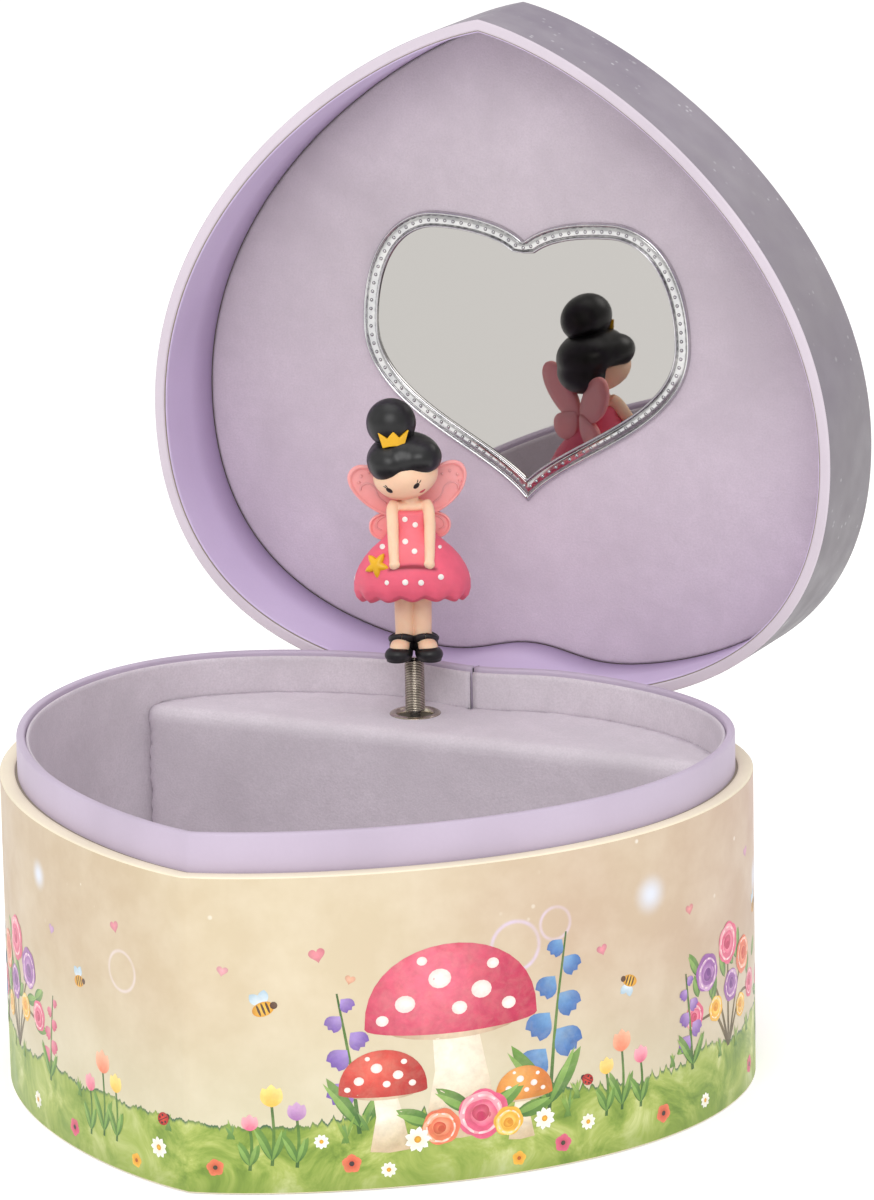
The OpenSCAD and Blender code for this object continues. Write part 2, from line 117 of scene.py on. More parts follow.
def tangent(s):
    d = raw(np.minimum(np.asarray(s) + 0.001, 2)) - raw(np.maximum(np.asarray(s) - 0.001, 0))
    return d / np.linalg.norm(d, axis=1)[:, None]


_S = np.linspace(0, 2, 6001)
_P = raw(_S)
_ARC = np.concatenate([[0], np.cumsum(np.linalg.norm(np.diff(_P, axis=0), axis=1))])
HALF_LEN = float(_ARC[-1])
_T = tangent(_S)


def half(d, u, x_end=0.0):
    """Right half of the outline moved inwards by d, at shares u of the way from the point to the back."""
    q = _P + d * np.stack([-_T[:, 1], _T[:, 0]], 1)
    front = _S < 0.5
    a0 = 0.0
    if d > 0:
        ok = np.flatnonzero(front & (q[:, 0] > 0))
        a0 = _ARC[ok[0]]
    a1 = HALF_LEN
    if x_end > 0:
        far = np.flatnonzero((_S > 1.5) & (q[:, 0] > x_end))
        a1 = _ARC[far[-1]]
    a = a0 + (a1 - a0) * np.asarray(u)
    x, y = np.interp(a, _ARC, q[:, 0]), np.interp(a, _ARC, q[:, 1])
    if x_end == 0:
        x[-1] = 0
    x[0] = 0
    y[0] = -FY + d / math.cos(TD)
    return np.stack([x, y], 1)


def at_arc(a, d=0.0):
    """Points of the outline at signed arc lengths from the front point, moved inwards by d."""
    a = np.asarray(a, float)
    q = _P + d * np.stack([-_T[:, 1], _T[:, 0]], 1)
    b = np.abs(a)
    x = np.interp(b, _ARC, q[:, 0])
    y = np.interp(b, _ARC, q[:, 1])
    return np.stack([np.sign(a) * x, y], 1)


def back_y(xs):
    """The back wall's y at given x."""
    k = _S > 1.25
    return np.interp(np.abs(xs), _P[k][::-1, 0], _P[k][::-1, 1])


def loop(d, n=180, x_end=0.0):
    u = np.linspace(0, 1, n)
    h = half(d, u, x_end)
    left = h[::-1].copy()
    left[:, 0] *= -1
    if x_end > 0:
        return np.concatenate([left, h[1:]])  # open at the back
    return np.concatenate([h, left[1:-1]])


# ------------------------------------------------------------------ mesh helpers
def add(name, verts, faces, smooth=True):
    me = bpy.data.meshes.new(name)
    me.from_pydata([tuple(v) for v in np.asarray(verts, float) * MM], [], [tuple(int(i) for i in f) for f in faces])
    me.validate()
    if smooth:
        me.shade_smooth()
    ob = bpy.data.objects.new(name, me)
    SC.collection.objects.link(ob)
    return ob


def fix_normals(ob):
    bm = bmesh.new()
    bm.from_mesh(ob.data)
    bmesh.ops.remove_doubles(bm, verts=bm.verts, dist=1e-6)
    bmesh.ops.recalc_face_normals(bm, faces=bm.faces)
    bm.to_mesh(ob.data)
    bm.free()
    return ob


def sharp(ob, deg):
    ob.data.set_sharp_from_angle(angle=math.radians(deg))
    return ob


def apply_modifiers(ob):
    dg = bpy.context.evaluated_depsgraph_get()
    me = bpy.data.meshes.new_from_object(ob.evaluated_get(dg))
    old = ob.data
    ob.modifiers.clear()
    ob.data = me
    bpy.data.meshes.remove(old)
    return ob


def join(name, obs):
    bm = bmesh.new()
    for o in obs:
        bm.from_mesh(o.data)
    me = bpy.data.meshes.new(name)
    bm.to_mesh(me)
    bm.free()
    for o in obs:
        bpy.data.objects.remove(o)
    ob = bpy.data.objects.new(name, me)
    SC.collection.objects.link(ob)
    return ob


def to_lid(v):
    """Closed-lid coordinates to the open lid at rest."""
    v = np.asarray(v, float)
    return np.stack([v[:, 0], HY + (v[:, 2] - BASE_H), BASE_H + (HY - v[:, 1])], 1)


def sweep(name, prof, n=180, x_end=0.0, lid=False, prof_at=None, closed=True):
    """A closed section of (inset, height) points carried round the outline. With x_end it stops short of the back's middle and is capped."""
    rows = []
    for k, (d, z) in enumerate(prof):
        xy = loop(d, n, x_end)
        zz = np.full(len(xy), float(z)) if prof_at is None else prof_at(k, d, z, xy)
        rows.append(np.column_stack([xy, zz]))
    m, w = len(rows[0]), len(rows)
    v = np.concatenate(rows)
    faces = []
    last = m if x_end == 0 else m - 1
    for k in range(w if closed else w - 1):
        a, b = k * m, ((k + 1) % w) * m
        for i in range(last):
            j = (i + 1) % m
            faces.append((a + i, a + j, b + j, b + i))
    if x_end and closed:
        faces.append([k * m for k in range(w)])
        faces.append([k * m + m - 1 for k in range(w)][::-1])
    if lid:
        v = to_lid(v)
    return fix_normals(add(name, v, faces))


def arc_pts(cx, cz, r, a0, a1, n):
    return [(cx + r * math.cos(math.radians(a0 + (a1 - a0) * i / n)), cz + r * math.sin(math.radians(a0 + (a1 - a0) * i / n))) for i in range(n + 1)]


def inside(poly, pts):
    x, y = pts[:, 0][:, None], pts[:, 1][:, None]
    a, b = poly, np.roll(poly, -1, 0)
    hit = ((a[:, 1] > y) != (b[:, 1] > y)) & (x < (b[:, 0] - a[:, 0]) * (y - a[:, 1]) / (b[:, 1] - a[:, 1] + 1e-30) + a[:, 0])
    return hit.sum(1) % 2 == 1


def near(pts, others):
    out = np.full(len(pts), 1e9)
    for i in range(0, len(others), 200):
        o = others[i:i + 200]
        out = np.minimum(out, np.sqrt(((pts[:, None] - o[None]) ** 2).sum(2)).min(1))
    return out


def fill(outer, holes=(), step=2.0, inner_rings=()):
    """Triangulates a region with an even scatter of inner points. Returns points and triangles."""
    outer = np.asarray(outer, float)
    lo, hi = outer.min(0), outer.max(0)
    gx = np.arange(lo[0], hi[0] + step, step)
    gy = np.arange(lo[1], hi[1] + step, step * 0.866)
    pts = np.array([(x + (step / 2 if j % 2 else 0), y) for j, y in enumerate(gy) for x in gx])
    edge = [outer] + [np.asarray(h, float) for h in holes] + [np.asarray(r, float) for r in inner_rings]
    pts = pts[inside(outer, pts)]
    for h in holes:
        pts = pts[~inside(np.asarray(h, float), pts)]
    pts = pts[near(pts, np.concatenate(edge)) > step * 0.55]
    verts = [Vector(p) for p in outer]
    faces = [list(range(len(outer)))]
    edges = []
    for h in list(holes) + list(inner_rings):
        k = len(verts)
        verts += [Vector(p) for p in h]
        edges += [(k + i, k + (i + 1) % len(h)) for i in range(len(h))]
    verts += [Vector(p) for p in pts]
    v, _, f, *_ = delaunay_2d_cdt(verts, edges, faces, 1, 1e-5)
    v = np.array([(p.x, p.y) for p in v])
    f = np.array([list(t) for t in f])
    mid = v[f].mean(1)
    keep = np.ones(len(f), bool)
    for h in holes:
        keep &= ~inside(np.asarray(h, float), mid)
    return v, f[keep]


def ellipsoid(name, c, r, rot=(0, 0, 0), seg=32, rings=20):
    bm = bmesh.new()
    bmesh.ops.create_uvsphere(bm, u_segments=seg, v_segments=rings, radius=1.0)
    m = Matrix.Translation(c) @ Matrix.Rotation(rot[2], 4, "Z") @ Matrix.Rotation(rot[1], 4, "Y") @ Matrix.Rotation(rot[0], 4, "X") @ Matrix.Diagonal((*r, 1))
    bm.transform(Matrix.Scale(MM, 4) @ m)
    me = bpy.data.meshes.new(name)
    bm.to_mesh(me)
    bm.free()
    me.shade_smooth()
    ob = bpy.data.objects.new(name, me)
    SC.collection.objects.link(ob)
    return ob


def spline(pts, n, closed=False):
    """Catmull-Rom through the points."""
    p = np.asarray(pts, float)
    k = len(p)
    if closed:
        q = np.concatenate([p[-1:], p, p[:2]])
        segs = k
    else:
        q = np.concatenate([2 * p[:1] - p[1:2], p, 2 * p[-1:] - p[-2:-1]])
        segs = k - 1
    out = []
    for t in np.linspace(0, segs, n, endpoint=not closed):
        i = min(int(t), segs - 1)
        w = t - i
        a, b, c, d = q[i], q[i + 1], q[i + 2], q[i + 3]
        out.append(0.5 * (2 * b + (c - a) * w + (2 * a - 5 * b + 4 * c - d) * w * w + (3 * b - a - 3 * c + d) * w ** 3))
    return np.array(out)


def tube(name, path, radii, seg=12, cap=True, flat=None):
    """A round tube along a path, with a radius at each point. flat=(a, b) scales its section."""
    path = np.asarray(path, float)
    n = len(path)
    radii = np.full(n, float(radii)) if np.isscalar(radii) else np.asarray(radii, float)
    t = np.gradient(path, axis=0)
    t /= np.linalg.norm(t, axis=1)[:, None]
    ref = np.array([0, 0, 1.0]) if abs(t[0][2]) < 0.9 else np.array([0, -1.0, 0])
    a = np.cross(t[0], ref)
    a /= np.linalg.norm(a)
    verts, faces = [], []
    for i in range(n):
        a = a - t[i] * (a @ t[i])
        a /= np.linalg.norm(a)
        b = np.cross(t[i], a)
        sx, sy = flat or (1, 1)
        for j in range(seg):
            w = 2 * math.pi * j / seg
            verts.append(path[i] + radii[i] * (a * math.cos(w) * sx + b * math.sin(w) * sy))
    for i in range(n - 1):
        for j in range(seg):
            k = (j + 1) % seg
            faces.append((i * seg + j, i * seg + k, (i + 1) * seg + k, (i + 1) * seg + j))
    if cap:
        verts.append(path[0] - t[0] * radii[0] * 0.55)
        verts.append(path[-1] + t[-1] * radii[-1] * 0.55)
        m = n * seg
        for j in range(seg):
            k = (j + 1) % seg
            faces.append((m, k, j))
            faces.append((m + 1, (n - 1) * seg + j, (n - 1) * seg + k))
    return fix_normals(add(name, verts, faces))


def lathe(name, prof, c=(0, 0, 0), seg=64, closed=True):
    prof = np.asarray(prof, float)
    w = len(prof)
    verts, faces = [], []
    for i in range(seg):
        a = 2 * math.pi * i / seg
        for r, z in prof:
            verts.append((c[0] + r * math.cos(a), c[1] + r * math.sin(a), c[2] + z))
    for i in range(seg):
        j = (i + 1) % seg
        for k in range(w if closed else w - 1):
            l = (k + 1) % w
            faces.append((i * w + k, j * w + k, j * w + l, i * w + l))
    return fix_normals(add(name, verts, faces))


# ------------------------------------------------------------------ materials
def lin(r, g, b):
    return tuple((v / 255 / 12.92) if v <= 10.3 else ((v / 255 + 0.055) / 1.055) ** 2.4 for v in (r, g, b)) + (1.0,)


class Mat:
    def __init__(self, name, color, rough=0.5, metal=0.0, **sockets):
        self.m = bpy.data.materials.new(name)
        self.m.use_nodes = True
        self.t = self.m.node_tree
        self.b = self.t.nodes["Principled BSDF"]
        self.b.inputs["Base Color"].default_value = color
        self.b.inputs["Roughness"].default_value = rough
        self.b.inputs["Metallic"].default_value = metal
        for k, v in sockets.items():
            self.b.inputs[k.replace("_", " ")].default_value = v
        self.tc = self.t.nodes.new("ShaderNodeTexCoord")

    def link(self, a, b):
        self.t.links.new(a, b)

    def put(self, sock, v):
        if isinstance(v, bpy.types.NodeSocket):
            self.link(v, sock)
        else:
            sock.default_value = v

    @property
    def obj(self):
        return self.tc.outputs["Object"]

    def noise(self, scale, detail=2.0, rough=0.5, vec=None, dist=0.0, color=False):
        n = self.t.nodes.new("ShaderNodeTexNoise")
        self.link(vec or self.obj, n.inputs["Vector"])
        n.inputs["Scale"].default_value = scale
        n.inputs["Detail"].default_value = detail
        n.inputs["Roughness"].default_value = rough
        n.inputs["Distortion"].default_value = dist
        return n.outputs[1 if color else 0]

    def voronoi(self, scale, vec=None, feature="F1", out="Distance", rnd=1.0):
        n = self.t.nodes.new("ShaderNodeTexVoronoi")
        n.feature = feature
        self.link(vec or self.obj, n.inputs["Vector"])
        n.inputs["Scale"].default_value = scale
        n.inputs["Randomness"].default_value = rnd
        return n.outputs[out]

    def math(self, op, a, b=0.0, c=0.0, clamp=False):
        n = self.t.nodes.new("ShaderNodeMath")
        n.operation = op
        n.use_clamp = clamp
        self.put(n.inputs[0], a)
        self.put(n.inputs[1], b)
        if len(n.inputs) > 2:
            self.put(n.inputs[2], c)
        return n.outputs[0]

    def map(self, v, a, b, c=0.0, d=1.0, smooth=False):
        n = self.t.nodes.new("ShaderNodeMapRange")
        n.interpolation_type = "SMOOTHSTEP" if smooth else "LINEAR"
        self.put(n.inputs[0], v)
        for i, x in enumerate((a, b, c, d)):
            self.put(n.inputs[i + 1], x)
        return n.outputs[0]

    def mix(self, f, a, b, mode="MIX"):
        n = self.t.nodes.new("ShaderNodeMix")
        n.data_type = "RGBA"
        n.blend_type = mode
        self.put(n.inputs[0], f)
        self.put(n.inputs[6], a)
        self.put(n.inputs[7], b)
        return n.outputs[2]

    def ramp(self, f, stops):
        n = self.t.nodes.new("ShaderNodeValToRGB")
        self.link(f, n.inputs[0])
        e = n.color_ramp.elements
        while len(e) > 1:
            e.remove(e[0])
        e[0].position, e[0].color = stops[0][0], stops[0][1]
        for p, c in stops[1:]:
            x = e.new(p)
            x.color = c
        return n.outputs[0]

    def sep(self, vec):
        n = self.t.nodes.new("ShaderNodeSeparateXYZ")
        self.link(vec, n.inputs[0])
        return n.outputs

    def vec(self, x, y, z=0.0):
        n = self.t.nodes.new("ShaderNodeCombineXYZ")
        for i, v in enumerate((x, y, z)):
            self.put(n.inputs[i], v)
        return n.outputs[0]

    def attr(self, name):
        n = self.t.nodes.new("ShaderNodeAttribute")
        n.attribute_name = name
        return n.outputs

    def uv(self, name):
        n = self.t.nodes.new("ShaderNodeUVMap")
        n.uv_map = name
        return n.outputs[0]

    def bump(self, h, strength, dist, normal=None):
        n = self.t.nodes.new("ShaderNodeBump")
        n.inputs["Strength"].default_value = strength
        n.inputs["Distance"].default_value = dist
        self.link(h, n.inputs["Height"])
        if normal is not None:
            self.link(normal, n.inputs["Normal"])
        return n.outputs[0]

    def out(self, color=None, rough=None, normal=None):
        if color is not None:
            self.put(self.b.inputs["Base Color"], color)
        if rough is not None:
            self.put(self.b.inputs["Roughness"], rough)
        if normal is not None:
            self.link(normal, self.b.inputs["Normal"])
        return self.m


def paper_mat(name, rgb, rough=0.5, tint=None, speck=0.0):
    c = lin(*rgb)
    m = Mat(name, c, rough)
    m.b.inputs["Specular IOR Level"].default_value = 0.35
    wide = m.noise(28, 3, 0.55)
    fibre = m.noise(1400, 3, 0.6)
    d = tuple(v * 0.93 for v in c[:3]) + (1,)
    e = lin(*tint) if tint else tuple(min(1, v * 1.05) for v in c[:3]) + (1,)
    col = m.ramp(wide, [(0.32, d), (0.5, c), (0.7, e)])
    col = m.mix(m.map(fibre, 0.3, 0.7, 0.0, 0.10), col, tuple(v * 0.8 for v in c[:3]) + (1,))
    if speck:
        sp = m.voronoi(230)
        size = m.map(m.noise(60, 1), 0.45, 0.75, 0.0, 0.16)
        dot = m.math("LESS_THAN", sp, size)
        col = m.mix(m.math("MULTIPLY", dot, speck), col, (1, 1, 1, 1))
        sp2 = m.voronoi(70)
        dot2 = m.map(sp2, 0.02, 0.075, 0.5 * speck, 0.0, True)
        col = m.mix(dot2, col, (1, 1, 1, 1))
    h = m.math("ADD", m.math("MULTIPLY", fibre, 0.4), m.math("MULTIPLY", m.noise(260, 2), 0.6))
    return m.out(col, m.map(m.noise(120, 2), 0.3, 0.7, rough - 0.05, rough + 0.06), m.bump(h, 0.18, 0.00012))


def velour_mat(name, rgb, depth=1.0, foot=False):
    c = np.array(lin(*rgb)[:3])
    m = Mat(name, (*c, 1), 0.95)
    m.b.inputs["Specular IOR Level"].default_value = 0.12
    m.b.inputs["Sheen Weight"].default_value = 0.22
    m.b.inputs["Sheen Roughness"].default_value = 0.45
    m.b.inputs["Sheen Tint"].default_value = (0.95, 0.9, 1.0, 1)
    wide = m.noise(38, 3, 0.6, dist=0.4)
    nap = m.noise(330, 3, 0.6)
    fine = m.noise(2300, 2, 0.6)
    col = m.ramp(wide, [(0.30, (*(c * 0.90), 1)), (0.5, (*c, 1)), (0.72, (*np.minimum(c * 1.09, 1), 1))])
    col = m.mix(m.map(nap, 0.35, 0.68, 0.0, 0.30 * depth), col, (*(c * 0.84), 1))
    col = m.mix(m.map(fine, 0.36, 0.66, 0.0, 0.36 * depth), col, (*(c * 0.74), 1))
    # painted light: with foot set, the pad is brightened and tinted lilac towards its lower part by height, standing in
    # for light thrown up from below
    if foot:
        x, y, z = m.sep(m.obj)
        col = m.mix(m.map(z, 0.090, 0.165, 0.8, 0.0, True), col, m.mix(1.0, col, (1.24, 1.20, 1.28, 1), "MULTIPLY"))
    h = m.math("ADD", m.math("MULTIPLY", nap, 0.8), m.math("MULTIPLY", fine, 0.5))
    n1 = m.bump(h, 0.42, 0.00035)
    return m.out(col, None, n1)


def vinyl_mat(name, rgb, rough=0.42, sss=0.0, shade=0.86, spec=0.45, coat=0.0):
    c = np.array(lin(*rgb)[:3])
    m = Mat(name, (*c, 1), rough)
    m.b.inputs["Specular IOR Level"].default_value = spec
    if sss:
        m.b.inputs["Subsurface Weight"].default_value = sss
        m.b.inputs["Subsurface Radius"].default_value = (1.0, 0.45, 0.3)
        m.b.inputs["Subsurface Scale"].default_value = 0.0012
    if coat:
        m.b.inputs["Coat Weight"].default_value = coat
        m.b.inputs["Coat Roughness"].default_value = 0.25
    n = m.noise(260, 3, 0.6)
    fine = m.noise(1500, 2, 0.5)
    col = m.ramp(n, [(0.3, (*(c * shade), 1)), (0.55, (*c, 1)), (0.8, (*np.minimum(c * 1.06 + 0.004, 1), 1))])
    return m, col, n, fine


def metal_mat(name, rgb, rough, brush=0.0, scratch=0.25):
    c = np.array(lin(*rgb)[:3])
    m = Mat(name, (*c, 1), rough, 1.0)
    n = m.noise(180, 4, 0.6)
    fine = m.noise(2600, 2, 0.5)
    col = m.ramp(n, [(0.3, (*(c * 0.86), 1)), (0.6, (*c, 1))])
    r = m.map(n, 0.3, 0.7, max(0.03, rough - 0.06), rough + 0.10)
    return m.out(col, r, m.bump(fine, scratch, 0.00003))


MAT = {}
MAT["greyboard"] = paper_mat("greyboard", (150, 140, 126), 0.8)
MAT["cream_paper"] = paper_mat("cream_paper", (244, 233, 208), 0.42)
MAT["lilac_paper"] = paper_mat("lilac_paper", (196, 182, 202), 0.5, (200, 187, 207))
MAT["band_paper"] = paper_mat("band_paper", (216, 199, 232), 0.5, (220, 204, 236))
MAT["rim_paper"] = paper_mat("rim_paper", (212, 201, 212), 0.5)
MAT["cloth"] = paper_mat("cloth", (176, 163, 186), 0.75)
MAT["velour"] = velour_mat("velour", (216, 207, 215))
# the lid's velour carries painted light: brightened and lilac in its lower part
MAT["velour_lid"] = velour_mat("velour_lid", (200, 189, 197), 0.8, True)
MAT["nickel"] = metal_mat("nickel", (206, 196, 180), 0.16)
def spring_mat():
    """Nickel wire, with painted shade where its turns meet: an ambient-occlusion node darkens it almost to black in its
    crevices.
    """
    m = Mat("spring_nickel", lin(196, 186, 170), 0.2, 1.0)
    ao = m.t.nodes.new("ShaderNodeAmbientOcclusion")
    ao.inputs["Distance"].default_value = 0.0008
    ao.samples = 8
    n = m.noise(300, 3, 0.6)
    col = m.ramp(n, [(0.3, lin(168, 158, 142)), (0.7, lin(214, 204, 188))])
    # painted shade: ambient occlusion darkens the wire and the eyelet towards near-black where parts meet
    col = m.mix(m.map(ao.outputs["AO"], 0.42, 0.90, 0.97, 0.0), col, lin(26, 22, 18))
    return m.out(col, m.map(n, 0.3, 0.7, 0.14, 0.26), m.bump(m.noise(2600, 2, 0.5), 0.2, 0.00003))


MAT["spring"] = spring_mat()
MAT["steel"] = metal_mat("steel", (190, 190, 188), 0.28)
MAT["zinc"] = metal_mat("zinc", (176, 178, 180), 0.42)
MAT["brass"] = metal_mat("brass", (205, 168, 96), 0.26)


def lid_paper():
    """Greyish lilac print with a soft wash and small pale specks."""
    m = Mat("lid_paper", lin(176, 166, 180), 0.42)
    m.b.inputs["Specular IOR Level"].default_value = 0.4
    w = m.noise(11, 4, 0.6, dist=0.6)
    col = m.ramp(w, [(0.28, lin(146, 134, 154)), (0.45, lin(164, 154, 168)), (0.6, lin(174, 166, 174)), (0.78, lin(186, 176, 190))])
    col = m.mix(m.map(m.noise(90, 3), 0.45, 0.75, 0.0, 0.30), col, lin(196, 188, 198))
    v = m.voronoi(120)
    pick = m.map(m.noise(33, 2), 0.42, 0.56, 0.0, 1.0)
    dot = m.map(v, 0.05, 0.13, 0.75, 0.0, True)
    col = m.mix(m.math("MULTIPLY", dot, pick), col, lin(246, 243, 248))
    v2 = m.voronoi(330)
    dot2 = m.map(v2, 0.05, 0.18, 0.7, 0.0, True)
    col = m.mix(m.math("MULTIPLY", dot2, m.map(m.noise(50, 2), 0.46, 0.56)), col, lin(240, 236, 244))
    # painted shade: the print is darkened by height, most towards the hinge
    x, y, z = m.sep(m.obj)
    k = m.map(z, 0.085, 0.195, 0.37, 0.78)
    col = m.mix(1.0, col, m.vec(k, k, k), "MULTIPLY")
    f = m.noise(1200, 3, 0.6)
    return m.out(col, m.map(m.noise(140, 2), 0.3, 0.7, 0.36, 0.5), m.bump(f, 0.15, 0.0001))


MAT["lid_paper"] = lid_paper()


def print_mat():
    """Cream to peach sky over a painted meadow; the flowers come from the mesh's own colours."""
    m = Mat("print", lin(240, 226, 196), 0.36)
    m.b.inputs["Specular IOR Level"].default_value = 0.42
    u, v, _ = m.sep(m.uv("print"))
    um = m.math("MULTIPLY", u, 1.0)
    p = m.vec(u, v, 0.0)
    # sky, from cream at the left and middle to peach and rose at the right
    soft = m.noise(14, 3, 0.55, p)
    pos = m.math("ADD", u, m.map(soft, 0.3, 0.7, -0.03, 0.03))
    rose, tan, cream = lin(192, 158, 140), lin(190, 164, 134), lin(213, 197, 166)
    sky = m.ramp(m.map(pos, -0.25, 0.25), [(0.0, rose), (0.33, tan), (0.55, cream), (0.85, rose)])
    up = m.map(v, 0.012, 0.045, 1.0, 0.0, True)
    sky = m.mix(m.math("MULTIPLY", up, 0.55), sky, lin(214, 212, 184))
    sky = m.mix(m.map(m.noise(70, 4, 0.6, p), 0.4, 0.75, 0.0, 0.22), sky, lin(252, 244, 226))
    # soft rings and glows of light
    for cx, cy, r, w, c, a in ((0.068, 0.048, 0.0052, 0.0007, (222, 204, 236), 0.75), (0.077, 0.0515, 0.0034, 0.0006, (228, 210, 238), 0.65), (-0.018, 0.043, 0.0042, 0.0006, (238, 224, 232), 0.5),
                               (-0.120, 0.046, 0.0055, 0.0008, (228, 208, 236), 0.6), (0.160, 0.050, 0.005, 0.0008, (228, 210, 238), 0.6)):
        d = m.math("SQRT", m.math("ADD", m.math("POWER", m.math("SUBTRACT", u, cx), 2.0), m.math("POWER", m.math("SUBTRACT", v, cy), 2.0)))
        sky = m.mix(m.math("MULTIPLY", m.map(m.math("ABSOLUTE", m.math("SUBTRACT", d, r)), 0.0, w, a, 0.0, True), m.map(m.noise(160, 2, 0.5, p), 0.4, 0.6, 0.5, 1.0)), sky, lin(*c))
    for cx, cy, r in ((0.101, 0.053, 0.0052), (-0.052, 0.055, 0.004), (0.150, 0.044, 0.005), (-0.160, 0.050, 0.005), (0.205, 0.048, 0.006)):
        d = m.math("SQRT", m.math("ADD", m.math("POWER", m.math("SUBTRACT", u, cx), 2.0), m.math("POWER", m.math("SUBTRACT", v, cy), 2.0)))
        sky = m.mix(m.map(d, 0.0, r, 0.85, 0.0, True), sky, lin(226, 234, 250))
    # fine pale specks high in the sky
    st = m.voronoi(190, p)
    pick = m.math("MULTIPLY", m.map(m.noise(45, 2, 0.5, p), 0.5, 0.62), m.map(v, 0.040, 0.058, 0.0, 1.0))
    sky = m.mix(m.math("MULTIPLY", m.map(st, 0.05, 0.12, 0.8, 0.0, True), pick), sky, lin(255, 252, 246))
    # meadow edge
    hill = m.math("ADD", m.map(m.noise(24, 2, 0.5, m.vec(u, 0.0)), 0.3, 0.7, 0.0120, 0.0185), m.map(m.noise(330, 3, 0.7, m.vec(u, 0.3)), 0.3, 0.7, -0.0011, 0.0011))
    saw = m.math("PINGPONG", m.math("ADD", m.math("MULTIPLY", u, 900.0), m.math("MULTIPLY", m.noise(260, 2, 0.5, m.vec(u, 0.7)), 5.0)), 1.0)
    tuft = m.map(m.noise(46, 2, 0.5, m.vec(u, 0.9)), 0.50, 0.68, 0.0, 0.0019)
    edge = m.math("ADD", hill, m.math("MULTIPLY", m.math("POWER", saw, 2.2), tuft))
    below = m.math("SUBTRACT", edge, v)
    grass_on = m.map(below, -0.00005, 0.00012)
    blot = m.noise(85, 5, 0.65, p, 0.8)
    grass = m.ramp(blot, [(0.32, lin(98, 130, 44)), (0.44, lin(138, 162, 68)), (0.55, lin(174, 188, 98)), (0.66, lin(206, 212, 144)), (0.80, lin(236, 236, 200))])
    deep = m.map(m.noise(30, 2, 0.5, p), 0.42, 0.70, 0.0, 0.5)
    grass = m.mix(deep, grass, lin(140, 164, 72))
    line = m.map(below, 0.00012, 0.0010, 0.95, 0.0, True)
    line = m.math("MULTIPLY", line, m.map(m.noise(150, 2, 0.5, m.vec(u, 0.5)), 0.35, 0.55, 0.25, 1.0))
    grass = m.mix(line, grass, lin(58, 98, 76))
    low = m.map(v, 0.0, 0.006, 0.45, 0.0, True)
    grass = m.mix(low, grass, lin(128, 150, 66))
    base = m.mix(grass_on, sky, grass)
    # painted flowers, with the uneven wash of watercolour
    a = m.attr("art")
    wash = m.map(m.noise(420, 4, 0.65, p), 0.3, 0.72, 0.86, 1.10)
    art = m.mix(1.0, a["Color"], m.vec(wash, wash, wash), "MULTIPLY")
    thin = m.map(m.noise(240, 5, 0.7, p, 0.6), 0.32, 0.58, 0.86, 1.0)
    col = m.mix(m.math("MULTIPLY", a["Alpha"], thin), base, art)
    pool = m.map(m.noise(130, 3, 0.6, p, 1.2), 0.50, 0.72, 0.0, 0.22)
    col = m.mix(m.math("MULTIPLY", a["Alpha"], pool), col, m.mix(1.0, col, col, "MULTIPLY"))
    f = m.noise(1300, 3, 0.6)
    h = m.math("ADD", m.math("MULTIPLY", f, 0.5), m.math("MULTIPLY", m.noise(200, 2), 0.7))
    return m.out(col, m.map(m.noise(110, 2), 0.3, 0.7, 0.32, 0.44), m.bump(h, 0.14, 0.00012))


MAT["print"] = print_mat()


def use(ob, *keys):
    ob.data.materials.clear()
    for k in keys:
        ob.data.materials.append(MAT[k])
    return ob


